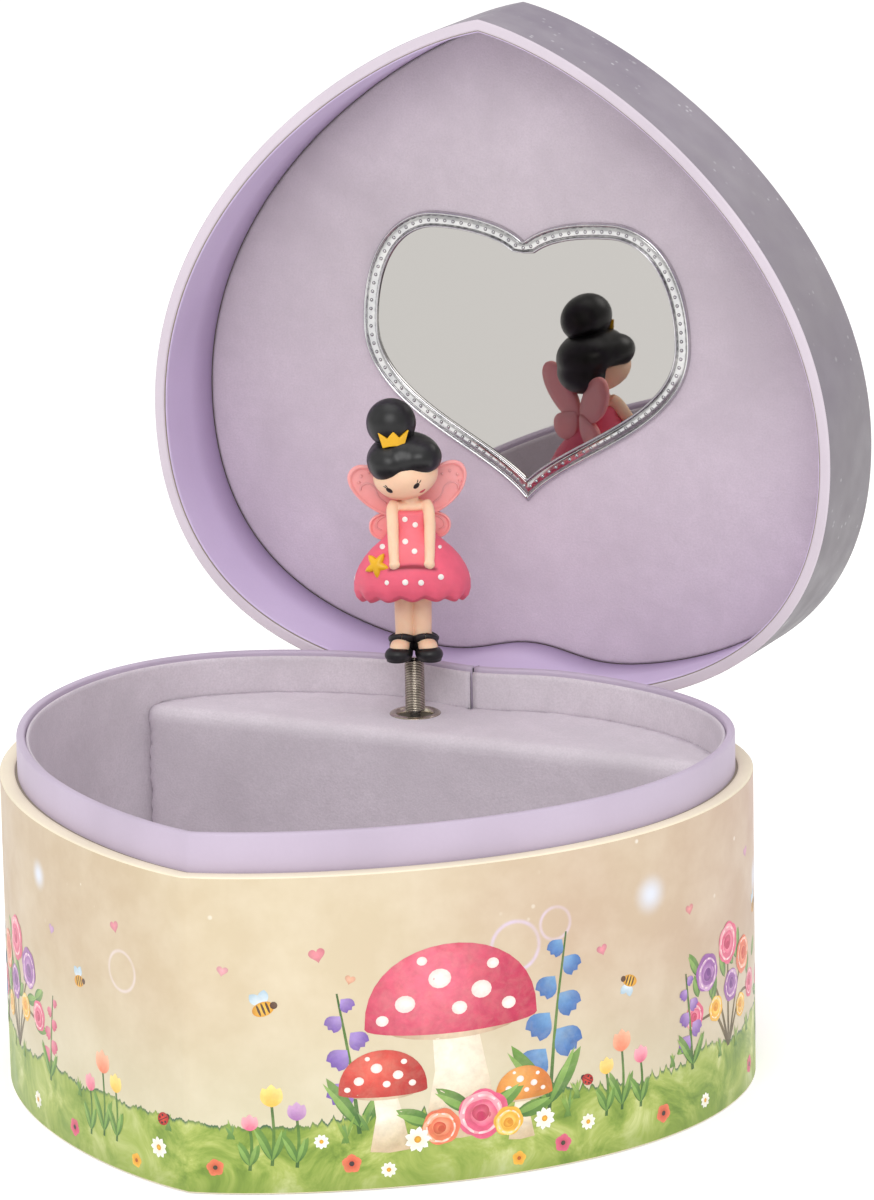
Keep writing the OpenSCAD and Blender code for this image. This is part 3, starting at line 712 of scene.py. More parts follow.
# ------------------------------------------------------------------ painted design for the base's wrap
class Art:
    """Flat shapes in (distance round the wall, height), mm, painted in order. Each has a colour at its centre and its edge."""

    def __init__(self):
        self.shapes = []

    def add(self, pts, c0, c1=None, cen=None, rad=None, a0=1.0, a1=None, rings=1):
        pts = np.asarray(pts, float)
        cen = pts.mean(0) if cen is None else np.asarray(cen, float)
        if rad is None:
            rad = np.linalg.norm(pts - cen, axis=1).max()
        c0 = np.array(lin(*c0)[:3])
        c1 = c0 * 0.82 if c1 is None else np.array(lin(*c1)[:3])
        self.shapes.append((pts, c0, c1, cen, rad, a0, a0 if a1 is None else a1, rings))

    # small shapes
    def blob(self, x, y, rx, ry=None, c0=(255, 255, 255), c1=None, rot=0.0, n=16, wob=0.0, **k):
        ry = rx if ry is None else ry
        t = np.arange(n) * 2 * math.pi / n
        w = 1 + wob * np.sin(t * 3 + x) + wob * 0.6 * np.sin(t * 5 + y)
        p = np.stack([rx * np.cos(t) * w, ry * np.sin(t) * w], 1)
        c, s = math.cos(rot), math.sin(rot)
        self.add(p @ np.array([[c, s], [-s, c]]) + (x, y), c0, c1, (x, y), max(rx, ry), **k)

    def petal(self, x, y, length, width, rot, c0, c1, n=8, tip=0.75, **k):
        t = np.linspace(0, 1, n + 1)
        w = width / 2 * np.sin(math.pi * t ** tip) ** 0.8
        p = np.concatenate([np.stack([length * t, w], 1)[:-1], np.stack([length * t, -w], 1)[::-1][:-1]])
        c, s = math.cos(rot), math.sin(rot)
        self.add(p @ np.array([[c, s], [-s, c]]) + (x, y), c0, c1, (x, y), length, **k)

    def stem(self, pts, w0, w1, c=(96, 134, 60), c1=(70, 106, 52)):
        p = spline(pts, 14)
        t = np.gradient(p, axis=0)
        t /= np.linalg.norm(t, axis=1)[:, None]
        nn = np.stack([-t[:, 1], t[:, 0]], 1)
        w = np.linspace(w0, w1, len(p))[:, None] / 2
        self.add(np.concatenate([p + nn * w, (p - nn * w)[::-1]]), c, c1, rings=0)

    def leaf(self, x, y, length, width, rot, c=(116, 156, 74), d=(74, 116, 58)):
        self.petal(x, y, length, width, rot, d, c, tip=0.9)
        self.petal(x, y, length * 0.96, width * 0.45, rot + 0.10, c, (150, 186, 100), tip=0.9)

    def daisy(self, x, y, r, n=9, c0=(250, 240, 214), c1=(255, 253, 248), eye=(244, 190, 60), rot=0.0):
        for i in range(n):
            self.petal(x, y, r, r * 0.52, rot + i * 2 * math.pi / n, c0, c1, n=5, tip=1.4, rings=0)
        self.blob(x, y, r * 0.27, c0=eye, c1=(214, 140, 34), n=10)

    def cup(self, x, y, r, c0, c1, rot=math.pi / 2):
        for dr, k, s in ((-0.42, 0.92, 0.9), (0.42, 0.92, 0.9), (0.0, 1.0, 1.0)):
            self.petal(x, y, r * 1.5 * k, r * 0.95 * s, rot + dr, c0, c1, tip=0.95)

    def rose(self, x, y, r, dark, mid, pale, rot=0.0):
        k = (1.0, 0.84, 0.66, 0.50, 0.34, 0.18)
        cols = ((dark, mid), (mid, pale), (dark, mid), (pale, mid), (mid, dark), (dark, dark))
        for i, s in enumerate(k):
            t = np.arange(30) * 2 * math.pi / 30
            lobes = 6 if i < 2 else 5 if i < 4 else 3
            w = 1 + 0.085 * np.abs(np.sin(t * lobes / 2 + rot + i * 0.9)) - 0.05
            ox, oy = r * 0.07 * math.cos(i * 2.1 + rot), r * 0.07 * math.sin(i * 2.1 + rot)
            p = np.stack([x + ox + r * s * w * np.cos(t), y + oy + r * s * w * 0.96 * np.sin(t)], 1)
            self.add(p, cols[i][0], cols[i][1], (x + ox, y + oy), r * s)
        for i in range(5):  # petal edges
            a = rot + i * 1.2566
            t = np.linspace(a - 0.5, a + 0.5, 7)
            o, n2 = r * 0.78, r * 0.70
            p = np.concatenate([np.stack([x + o * np.cos(t), y + o * np.sin(t)], 1), np.stack([x + n2 * np.cos(t[::-1] * 0.98 + a * 0.02), y + n2 * np.sin(t[::-1])], 1)])
            self.add(p, pale, (255, 232, 232), rings=0)

    def toadstool(self, x, y, h, w, cap=(224, 92, 100), cap2=(176, 46, 62), lean=0.0):
        sw = w * 0.2
        self.add([(x - sw * 1.1, y), (x - sw * 0.72, y + h * 0.35), (x - sw * 0.62 + lean, y + h * 0.66), (x + sw * 0.62 + lean, y + h * 0.66),
                  (x + sw * 0.78, y + h * 0.35), (x + sw * 1.2, y), (x, y - h * 0.02)], (252, 244, 226), (214, 190, 158), (x - sw * 0.3, y + h * 0.4), h * 0.42)
        self.blob(x + lean, y + h * 0.60, w * 0.40, h * 0.085, (226, 204, 176), (190, 156, 128), n=20)
        t = np.linspace(0, math.pi, 20)
        top = np.stack([x + lean + w / 2 * np.cos(t), y + h * 0.60 + h * 0.42 * np.sin(t) ** 0.85], 1)
        tb = np.linspace(math.pi, 2 * math.pi, 14)[1:-1]
        bot = np.stack([x + lean + w / 2 * np.cos(tb), y + h * 0.60 + h * 0.055 * np.sin(tb)], 1)
        self.add(np.concatenate([top, bot]), cap, cap2, (x + lean - w * 0.12, y + h * 0.84), w * 0.56, rings=3)
        for dx, dy, rr in ((-0.27, 0.72, 0.058), (-0.07, 0.84, 0.066), (0.17, 0.76, 0.060), (0.04, 0.675, 0.045), (0.33, 0.67, 0.042), (-0.40, 0.64, 0.036), (-0.17, 0.94, 0.030), (0.24, 0.89, 0.036)):
            self.blob(x + lean + dx * w, y + h * dy, rr * w, rr * w * 0.86, (255, 252, 246), (246, 222, 216), n=14)

    def ladybird(self, x, y, r, rot=0.0):
        c, s = math.cos(rot), math.sin(rot)
        self.blob(x + c * r * 0.85, y + s * r * 0.85, r * 0.42, c0=(60, 44, 46), n=12)
        self.blob(x, y, r, r * 0.84, (226, 74, 58), (164, 34, 36), rot, n=18)
        self.stem([(x - c * r, y - s * r), (x, y), (x + c * r * 0.8, y + s * r * 0.8)], r * 0.10, r * 0.10, (60, 40, 42), (60, 40, 42))
        for dx, dy in ((-0.45, 0.38), (0.15, 0.46), (-0.45, -0.38), (0.15, -0.46)):
            self.blob(x + (dx * c - dy * s) * r, y + (dx * s + dy * c) * r, r * 0.16, c0=(52, 36, 40), n=8)

    def bee(self, x, y, r, rot=0.3):
        c, s = math.cos(rot), math.sin(rot)
        for k in (-0.5, 0.45):
            self.petal(x - s * r * 0.3, y + c * r * 0.3, r * 1.5, r * 0.95, rot + math.pi / 2 + k, (236, 244, 250), (176, 204, 222), a0=0.85, tip=1.2)
        self.blob(x, y, r, r * 0.66, (250, 206, 84), (214, 146, 40), rot, n=18)
        for k in (-0.42, 0.0, 0.42):
            self.blob(x + c * r * k, y + s * r * k, r * 0.11, r * 0.60 * math.sqrt(1 - k * k), (92, 62, 48), rot=rot, n=10)
        self.blob(x + c * r * 0.98, y + s * r * 0.98, r * 0.34, c0=(96, 66, 52), n=10)

    def heart(self, x, y, r, c0, c1, rot=0.0, **k):
        t = np.linspace(0, 2 * math.pi, 28, endpoint=False)
        p = np.stack([16 * np.sin(t) ** 3, 13 * np.cos(t) - 5 * np.cos(2 * t) - 2 * np.cos(3 * t) - np.cos(4 * t)], 1) * r / 16
        c, s = math.cos(rot), math.sin(rot)
        self.add(p @ np.array([[c, s], [-s, c]]) + (x, y), c0, c1, (x, y), r, **k)

    def bells(self, x, y, h, c0, c1, n=6, lean=0.0):
        self.stem([(x, y), (x + lean * 0.4, y + h * 0.5), (x + lean, y + h)], 0.9, 0.4)
        for i in range(n):
            t = 0.36 + 0.60 * i / (n - 1)
            side = 1 if i % 2 else -1
            sx, sy, r = x + lean * t * t, y + h * t, (1.15 - 0.62 * i / n) * h * 0.085
            a = -math.pi / 2 + side * 0.75
            for dr in (-0.36, 0.36, 0.0):
                self.petal(sx + side * r * 0.3, sy, r * 2.0, r * 1.15, a + dr, c0, c1, n=6, tip=1.35)
        self.leaf(x, y + h * 0.05, h * 0.42, h * 0.10, math.pi / 2 + 0.55)
        self.leaf(x, y + h * 0.04, h * 0.36, h * 0.09, math.pi / 2 - 0.6)

    def tuft(self, x, y, h, n=6):
        for i in range(n):
            a = math.pi / 2 + (i - (n - 1) / 2) * 0.22 + RNG.uniform(-0.08, 0.08)
            self.petal(x + (i - n / 2) * 0.35, y, h * RNG.uniform(0.65, 1.05), 0.75, a, (96, 136, 62), RNG.choice([(146, 178, 84), (120, 158, 92), (168, 190, 104)]), n=5, rings=0)

    def halo(self, x, y, r, w, c, a):
        """A soft ring of light."""
        n = 40
        t = np.arange(n) * 2 * math.pi / n
        for k, aa in ((1.0, 0.35), (0.62, 0.75)):
            ww = w * k
            for r0, r1 in ((r - ww, r + ww),):
                o = np.stack([x + r1 * np.cos(t), y + r1 * np.sin(t)], 1)
                i = np.stack([x + r0 * np.cos(t[::-1]), y + r0 * np.sin(t[::-1])], 1)
                # an annulus as two halves, so that each is a simple shape
                for h in (0, 1):
                    q = slice(h * n // 2, (h + 1) * n // 2 + 1)
                    oo = np.concatenate([o, o[:1]])[q]
                    ii = np.stack([x + r0 * np.cos(np.append(t, t[0])[q]), y + r0 * np.sin(np.append(t, t[0])[q])], 1)[::-1]
                    self.add(np.concatenate([oo, ii]), c, c, (x, y), r1, a0=a * aa, rings=0)


def draw_meadow(A):
    P = ((196, 52, 96), (232, 104, 140), (250, 178, 190))      # deep, mid and pale rose
    V = ((120, 62, 138), (164, 104, 176), (214, 172, 214))     # violet
    Y = ((226, 146, 40), (246, 190, 74), (254, 228, 140))      # yellow
    C = ((206, 78, 60), (238, 128, 96), (252, 192, 160))       # coral
    # the tall group in the middle of the right-hand face: toadstools among roses
    def big_group(x, y, s=1.0, flip=1):
        A.bells(x + flip * 19 * s, y + 1, 34 * s, (122, 168, 212), (70, 112, 178), 7, flip * 4.5)
        A.bells(x - flip * 17.5 * s, y + 1, 27 * s, (176, 150, 214), (124, 92, 172), 6, -flip * 4)
        A.toadstool(x + flip * 1.5 * s, y - 1, 36 * s, 33 * s, (238, 118, 140), (196, 54, 88), -flip * 1.2 * s)
        A.toadstool(x - flip * 12 * s, y - 3, 19 * s, 16.5 * s, (232, 98, 84), (180, 50, 48), -flip * 1.0 * s)
        A.toadstool(x + flip * 13.2 * s, y - 3.5, 13.5 * s, 11.5 * s, (246, 176, 92), (208, 120, 50), flip * 0.8 * s)
        for dx, dy, ln, a in ((6, 2.5, 9, 0.5), (4, 3, 9, 2.5), (-3.5, 1.5, 8, 2.7), (12, 1.5, 8, 0.2)):
            A.leaf(x + flip * dx * s, y + dy * s, ln * s, 3.0 * s, a if flip > 0 else math.pi - a)
        A.rose(x + flip * 5.5 * s, y + 2.5 * s, 4.9 * s, *P)
        A.rose(x - flip * 2.4 * s, y + 0.8 * s, 3.6 * s, *C, rot=1.0)
        A.rose(x + flip * 10.8 * s, y + 0.3 * s, 2.9 * s, *Y, rot=2.0)
        A.daisy(x - flip * 6.8 * s, y - 1.0 * s, 2.5 * s)
        A.daisy(x + flip * 18 * s, y - 0.2 * s, 2.2 * s, rot=0.3)
        A.tuft(x - flip * 20 * s, y - 1, 6 * s)
        A.tuft(x + flip * 23 * s, y - 1, 5.5 * s)

    def rose_bush(x, y, s=1.0, flip=1):
        for a, ln in ((0.6, 15), (1.1, 19), (1.57, 21), (2.0, 19), (2.5, 14)):
            A.stem([(x, y), (x + math.cos(a) * ln * 0.5 * s, y + ln * 0.55 * s), (x + math.cos(a) * ln * s, y + math.sin(a) * ln * s)], 0.9 * s, 0.5 * s, (120, 104, 66), (92, 78, 52))
        for i in range(17):
            a = RNG.uniform(0.3, 2.85)
            r = RNG.uniform(8, 21) * s
            A.leaf(x + math.cos(a) * r, y + math.sin(a) * r, RNG.uniform(4.5, 7) * s, 2.4 * s, a + RNG.uniform(-0.9, 0.9))
        for dx, dy, r, c in ((0, 21, 4.4, P), (-8.5, 16.5, 3.9, C), (8.6, 17.2, 4.0, V), (-1.5, 12.2, 3.4, V), (13.5, 9.5, 3.0, P), (-13.4, 9.0, 3.1, P), (5.6, 9.2, 2.7, Y), (-6.5, 6.4, 2.5, Y)):
            A.rose(x + flip * dx * s, y + dy * s, r * s, *c, rot=dx)
        A.tuft(x - 4, y - 1.5, 5)
        A.tuft(x + 4, y - 1.5, 5)

    big_group(54, 11.0, 1.10)
    rose_bush(-70, 13.0, 1.12)
    A.bells(-88, 11, 24, (122, 168, 212), (70, 112, 178), 6, -3)
    A.bells(-49, 11.5, 19, (240, 150, 170), (206, 84, 120), 6, 2.5)
    big_group(-126, 11.0, 0.95, -1)
    rose_bush(128.5, 13.5, 1.05, -1)
    A.bells(113.5, 12.5, 21, (190, 156, 214), (136, 96, 176), 6, -2)
    big_group(178, 11.0, 0.9)
    rose_bush(-186, 13.0, 1.0)
    rose_bush(226, 13.0, 0.9)
    big_group(-230, 10.5, 0.85)

    # cups and daisies along the meadow
    for x, y, h, c in ((-26, 9, 13, C), (-21.5, 9, 10, Y), (-31, 8, 9, P), (17, 9, 12, Y), (22, 8.5, 9.5, V), (12.5, 8, 8, P), (92.5, 12, 12, C), (97.5, 11.5, 9, P), (88.5, 11.5, 8.5, Y), (152, 10, 12, P), (-156, 10, 12, Y), (204, 10, 11, C), (-208, 10, 11, V)):
        A.stem([(x, y - 3), (x + 0.5, y + h * 0.3), (x + 0.2, y + h - 2)], 0.7, 0.55)
        A.leaf(x, y - 2, h * 0.7, 1.9, math.pi / 2 + 0.38)
        A.leaf(x, y - 2, h * 0.62, 1.8, math.pi / 2 - 0.42)
        A.cup(x + 0.2, y + h - 2.6, h * 0.21 + 0.7, c[1], c[2])
    for x, y, r, c in ((-8, 8.0, 2.3, None), (5.5, 5.6, 1.9, C), (33, 5.8, 2.1, C), (40.5, 4.0, 1.7, None), (78, 4.8, 2.0, P), (84, 8.2, 1.8, None), (104, 5.5, 2.1, C), (118, 4.5, 1.7, None),
                       (-38, 4.6, 2.0, P), (-57, 5.0, 2.0, None), (-98, 5, 2.1, C), (-15, 3.6, 1.6, Y), (27, 10.8, 1.6, None), (68, 3.2, 1.6, Y), (142, 5, 2, P), (-145, 6, 2, None), (165, 4.5, 1.8, C), (192, 6, 2, None), (-170, 4, 1.8, C), (-200, 6, 2, P), (215, 4, 2, C)):
        if c is None:
            A.daisy(x, y, r, 9, rot=x)
        else:
            for i in range(5):
                A.petal(x, y, r, r * 0.95, x + i * 1.2566, c[0], c[1], n=6, tip=1.5)
            A.blob(x, y, r * 0.26, c0=(72, 56, 60) if c is not Y else (190, 100, 40), n=9)
    for x, y, h in ((-5, 12, 4), (9, 11.5, 4.5), (36, 12.5, 5), (81.5, 13.5, 4.5), (107, 14.5, 4), (-35, 12, 4.5), (-105, 12, 4), (140, 13, 4.5), (-143, 12, 4)):
        A.tuft(x, y, h)
    A.ladybird(-6.5, 14.4, 1.6, 0.5)
    A.ladybird(84, 17.2, 1.4, 2.6)
    A.ladybird(-103, 16, 1.6, 0.2)
    # in the air
    A.bee(16, 39, 2.3, 0.35)
    A.bee(95, 36, 1.9, 2.75)
    A.bee(-34, 37, 1.9, 0.2)
    A.bee(-100, 42, 2, 2.9)
    A.bee(148, 38, 2, 0.3)
    for x, y, r, c, a in ((27, 50, 1.7, (242, 148, 160), 0.2), (33.5, 44.5, 1.1, (248, 190, 160), -0.3), (8, 47, 1.2, (246, 178, 186), -0.2), (88, 44, 1.3, (240, 150, 166), 0.25), (-20, 52, 1.4, (240, 152, 168), 0.3),
                          (-46, 45, 1.2, (214, 172, 214), -0.2), (113, 47, 1.3, (240, 160, 160), 0.1), (-90, 52, 1.5, (242, 160, 170), 0.1), (140, 52, 1.3, (230, 170, 200), 0.2), (-150, 50, 1.5, (242, 150, 170), 0.1), (200, 52, 1.5, (242, 160, 170), -0.2)):
        A.heart(x, y, r, c, tuple(int(v * 0.86) for v in c), a, a0=0.85)


def make_print(z0=0.25, z1=66.1):
    """The wrap's face, and over it the painted shapes as thin layers that follow the wall."""
    A = Art()
    draw_meadow(A)
    L = HALF_LEN
    us = np.concatenate([np.linspace(-L, 0, 231), np.linspace(0, L, 231)[1:]])
    vs = np.linspace(z0, z1, 12)
    xy = at_arc(us)
    verts = np.concatenate([np.column_stack([xy, np.full(len(us), z)]) for z in vs])
    flat = np.concatenate([np.column_stack([us, np.full(len(us), z)]) for z in vs])
    n = len(us)
    faces = [(k * n + i, k * n + i + 1, (k + 1) * n + i + 1, (k + 1) * n + i) for k in range(len(vs) - 1) for i in range(n - 1)]
    sheet = art_mesh("print_face", verts, flat, faces, np.zeros((len(verts), 4)))
    # layers
    V, F, U, C = [], [], [], []
    boxes = []
    count = 0
    for pts, c0, c1, cen, rad, a0, a1, rings in A.shapes:
        pts = pts.copy()
        pts[:, 1] = np.clip(pts[:, 1], z0 + 0.05, z1 - 0.05)
        pts[:, 0] = np.clip(pts[:, 0], -L + 0.05, L - 0.05)
        lo, hi = pts.min(0), pts.max(0)
        lay = 0
        for bl, bh, k in boxes:
            if k >= lay and bl[0] < hi[0] and lo[0] < bh[0] and bl[1] < hi[1] and lo[1] < bh[1]:
                lay = k + 1
        boxes.append((lo, hi, lay))
        m = len(pts)
        if rings == 0 and m % 2 == 0 and m > 20:      # a stroke: two long sides
            P = pts
            T = [(i, i + 1, m - 2 - i, m - 1 - i) for i in range(m // 2 - 1)]
        else:
            # long edges are divided, and the shape is ringed, so that it follows the wall
            out = []
            for i in range(m):
                q, r = pts[i], pts[(i + 1) % m]
                k = max(1, int(np.linalg.norm(r - q) / 1.8))
                out += [q + (r - q) * j / k for j in range(k)]
            out = np.array(out)
            mid = out.mean(0)
            size = np.linalg.norm(out - mid, axis=1).max()
            steps = max(1, int(size / 1.8))
            w = len(out)
            P = np.concatenate([mid + (out - mid) * (1 - j / steps) for j in range(steps)] + [mid[None]])
            T = []
            for j in range(steps - 1):
                T += [(j * w + i, j * w + (i + 1) % w, (j + 1) * w + (i + 1) % w, (j + 1) * w + i) for i in range(w)]
            T += [((steps - 1) * w + i, (steps - 1) * w + (i + 1) % w, steps * w) for i in range(w)]
        k = np.clip(np.linalg.norm(P - cen, axis=1) / rad, 0, 1)
        k = (k * k * (3 - 2 * k))[:, None]
        col = np.concatenate([c0 * (1 - k) + c1 * k, np.ones((len(P), 1))], 1)
        q = at_arc(P[:, 0], -(0.012 + 0.005 * lay))
        V.append(np.column_stack([q, P[:, 1]]))
        U.append(P)
        C.append(col)
        F += [tuple(i + count for i in t) for t in T]
        count += len(P)
    print("painted shapes", len(A.shapes), "layers", max(k for _, _, k in boxes), "points", count)
    paint = art_mesh("print_flowers", np.concatenate(V), np.concatenate(U), F, np.concatenate(C))
    return [sheet, paint]


def art_mesh(name, verts, flat, faces, col):
    me = bpy.data.meshes.new(name)
    me.from_pydata([tuple(p) for p in np.asarray(verts) * MM], [], faces)
    uvl = me.uv_layers.new(name="print")
    art = me.color_attributes.new("art", "FLOAT_COLOR", "POINT")
    idx = np.zeros(len(me.loops), np.int32)
    me.loops.foreach_get("vertex_index", idx)
    uvl.uv.foreach_set("vector", (np.asarray(flat)[idx] * MM).astype(np.float32).ravel())
    art.data.foreach_set("color", np.asarray(col).astype(np.float32).ravel())
    # every face looks outwards
    bm = bmesh.new()
    bm.from_mesh(me)
    turn = [f for f in bm.faces if f.normal.dot(Vector((f.calc_center_median().x, f.calc_center_median().y, 0)) - Vector((0, 0.0, 0))) < 0]
    bmesh.ops.reverse_faces(bm, faces=turn)
    bm.to_mesh(me)
    bm.free()
    me.shade_smooth()
    ob = bpy.data.objects.new(name, me)
    SC.collection.objects.link(ob)
    return ob


# ------------------------------------------------------------------ base
def build_base():
    made = []
    # paper wrap: printed face, folded top edge and the ledge inside it
    prof = [(0.06, 0.0), (0.06, 65.8)] + [(d, z) for d, z in arc_pts(0.5, 65.92, 0.5, 180, 90, 6)] + [(1.8, 66.44), (2.9, 66.43), (3.15, 66.30), (3.18, 66.12), (0.4, 66.1), (0.3, 65.6), (0.3, 0.0)]
    wrap = sweep("wrap_folds", prof, 240)
    use(wrap, "cream_paper")
    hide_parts("printed_wrap")
    made += [wrap]
    for face in make_print():
        use(face, "print")
        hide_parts("printed_wrap")
        made.append(face)
    # collar
    prof = [(3.7, 3.0), (3.68, 30), (3.7, 73.8)] + arc_pts(4.3, 73.8, 0.58, 180, 90, 5)[1:] + arc_pts(4.95, 73.8, 0.55, 90, 0, 5) + [(5.5, 30), (5.5, 3.0)]
    collar = sweep("collar_paper", prof, 240, x_end=0.32)
    use(collar, "lilac_paper")
    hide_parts("neck_collar")
    # lining
    def lift(k, d, z, xy):
        low = np.where(xy[:, 1] > PART_Y + 5.0, 65.2, 3.0)
        zz = np.full(len(xy), float(z))
        return np.maximum(zz, low)
    prof = [(5.52, 3.0), (5.52, 20), (5.52, 40), (5.52, 60), (5.54, 72.6), (5.75, 73.3), (6.0, 73.45), (6.3, 73.2), (6.42, 72.5), (6.36, 60), (6.34, 40), (6.34, 20), (6.36, 3.0)]
    lining = sweep("lining_velour", prof, 240, x_end=0.36, prof_at=lift)
    use(lining, "velour")
    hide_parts("well_lining")
    made += [collar, lining]
    # floor pad of the well
    h = half(6.5, np.linspace(0, 1, 200))
    h = h[h[:, 1] < PART_Y - 0.35]
    xe = float(np.interp(PART_Y - 0.35, h[-2:, 1], h[-2:, 0])) if h[-1, 1] > h[-2, 1] else h[-1, 0]
    h = np.concatenate([h[::2], [[h[-1, 0], PART_Y - 0.35]]])
    back = np.array([(x, PART_Y - 0.35) for x in np.linspace(h[-1, 0], -h[-1, 0], 40)[1:-1]])
    left = h[::-1].copy(); left[:, 0] *= -1
    out = np.concatenate([h, back, left[:-1]])
    v, f = fill(out, step=3.0)
    edge = near(v, out)
    z = 4.25 + 0.35 * np.clip(edge / 4, 0, 1) ** 0.5 - 0.5 * np.clip(1 - edge / 1.2, 0, 1) + 0.10 * np.sin(v[:, 0] / 9) * np.cos(v[:, 1] / 7)
    n = len(v)
    pad = add("well_pad", np.concatenate([np.column_stack([v, z]), np.column_stack([v, np.full(n, 3.05)])]), [])
    bpy.data.objects.remove(pad)
    top, bot = f, f[:, ::-1] + n
    rim = boundary(f)
    side = [(b, a, a + n, b + n) for a, b in rim]
    pad = fix_normals(add("well_pad", np.concatenate([np.column_stack([v, z]), np.column_stack([v, np.full(n, 3.05)])]), list(map(tuple, top)) + list(map(tuple, bot)) + side))
    use(pad, "velour")
    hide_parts("well_floor_pad")
    made.append(pad)
    made.append(build_deck())
    # the board behind the front face, with rounded ends
    xe = 62.5
    o = [(xe * sx + 1.0 * math.cos(a) * 1.0 * (1 if sx > 0 else 1), 35.3 + 1.0 * math.sin(a)) for sx, a0 in ((1, -math.pi / 2), (-1, math.pi / 2)) for a in np.linspace(a0, a0 + math.pi, 9)]
    m = len(o)
    vv = [(x, y, z) for z in (3.2, 20, 40, 61.5) for x, y in o]
    ff = [(k * m + i, k * m + (i + 1) % m, (k + 1) * m + (i + 1) % m, (k + 1) * m + i) for k in range(3) for i in range(m)] + [list(range(m))[::-1], [3 * m + i for i in range(m)]]
    board = fix_normals(add("partition_board", vv, ff))
    sharp(board, 40)
    use(board, "greyboard")
    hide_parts("partition_wall")
    made.append(board)
    # the deck's board, with its front corners cut round
    h = half(7.0, np.linspace(0, 1, 500))
    k = np.flatnonzero((h[:, 1] > 45) & (np.linspace(0, 1, 500) > 0.5))
    r = np.concatenate([[(54.0, 36.2), (58.0, 36.8), (60.6, 39.0), (62.0, 42.0)], h[k][::5]])
    r = r[r[:, 0] > 0.8]
    l = r[::-1].copy(); l[:, 0] *= -1
    o = np.concatenate([r, l])
    hole = [(SPIN[0] + 3.75 * math.cos(a), SPIN[1] + 3.75 * math.sin(a)) for a in np.arange(32) * math.pi / 16]
    v, f = fill(o, [hole], 4.0)
    n = len(v)
    vv = np.concatenate([np.column_stack([v, np.full(n, 64.55)]), np.column_stack([v, np.full(n, 62.7)])])
    card = fix_normals(add("deck_card", vv, list(map(tuple, f)) + list(map(tuple, f[:, ::-1] + n)) + [(b, a, a + n, b + n) for a, b in boundary(f)], smooth=False))
    use(card, "greyboard")
    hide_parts("deck_board")
    made.append(card)
    # eyelet with its rolled flange
    ey = lathe("spindle_eyelet_ring", [(3.75, 61.6), (3.78, 64.9), (3.98, 65.52), (4.5, 65.84), (5.1, 65.82), (5.5, 65.6), (5.68, 65.32), (5.5, 65.22), (4.35, 65.40), (4.10, 64.9), (4.05, 61.6)], (SPIN[0], SPIN[1], -0.28), 72)
    use(ey, "spring")
    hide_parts("spindle_eyelet")
    made.append(ey)
    for o in made:
        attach(o, "base")


def boundary(f):
    """Directed boundary edges of a triangle list."""
    seen = {}
    for a, b, c in f:
        for e in ((a, b), (b, c), (c, a)):
            seen[(int(e[0]), int(e[1]))] = 1
    return [e for e in seen if (e[1], e[0]) not in seen]


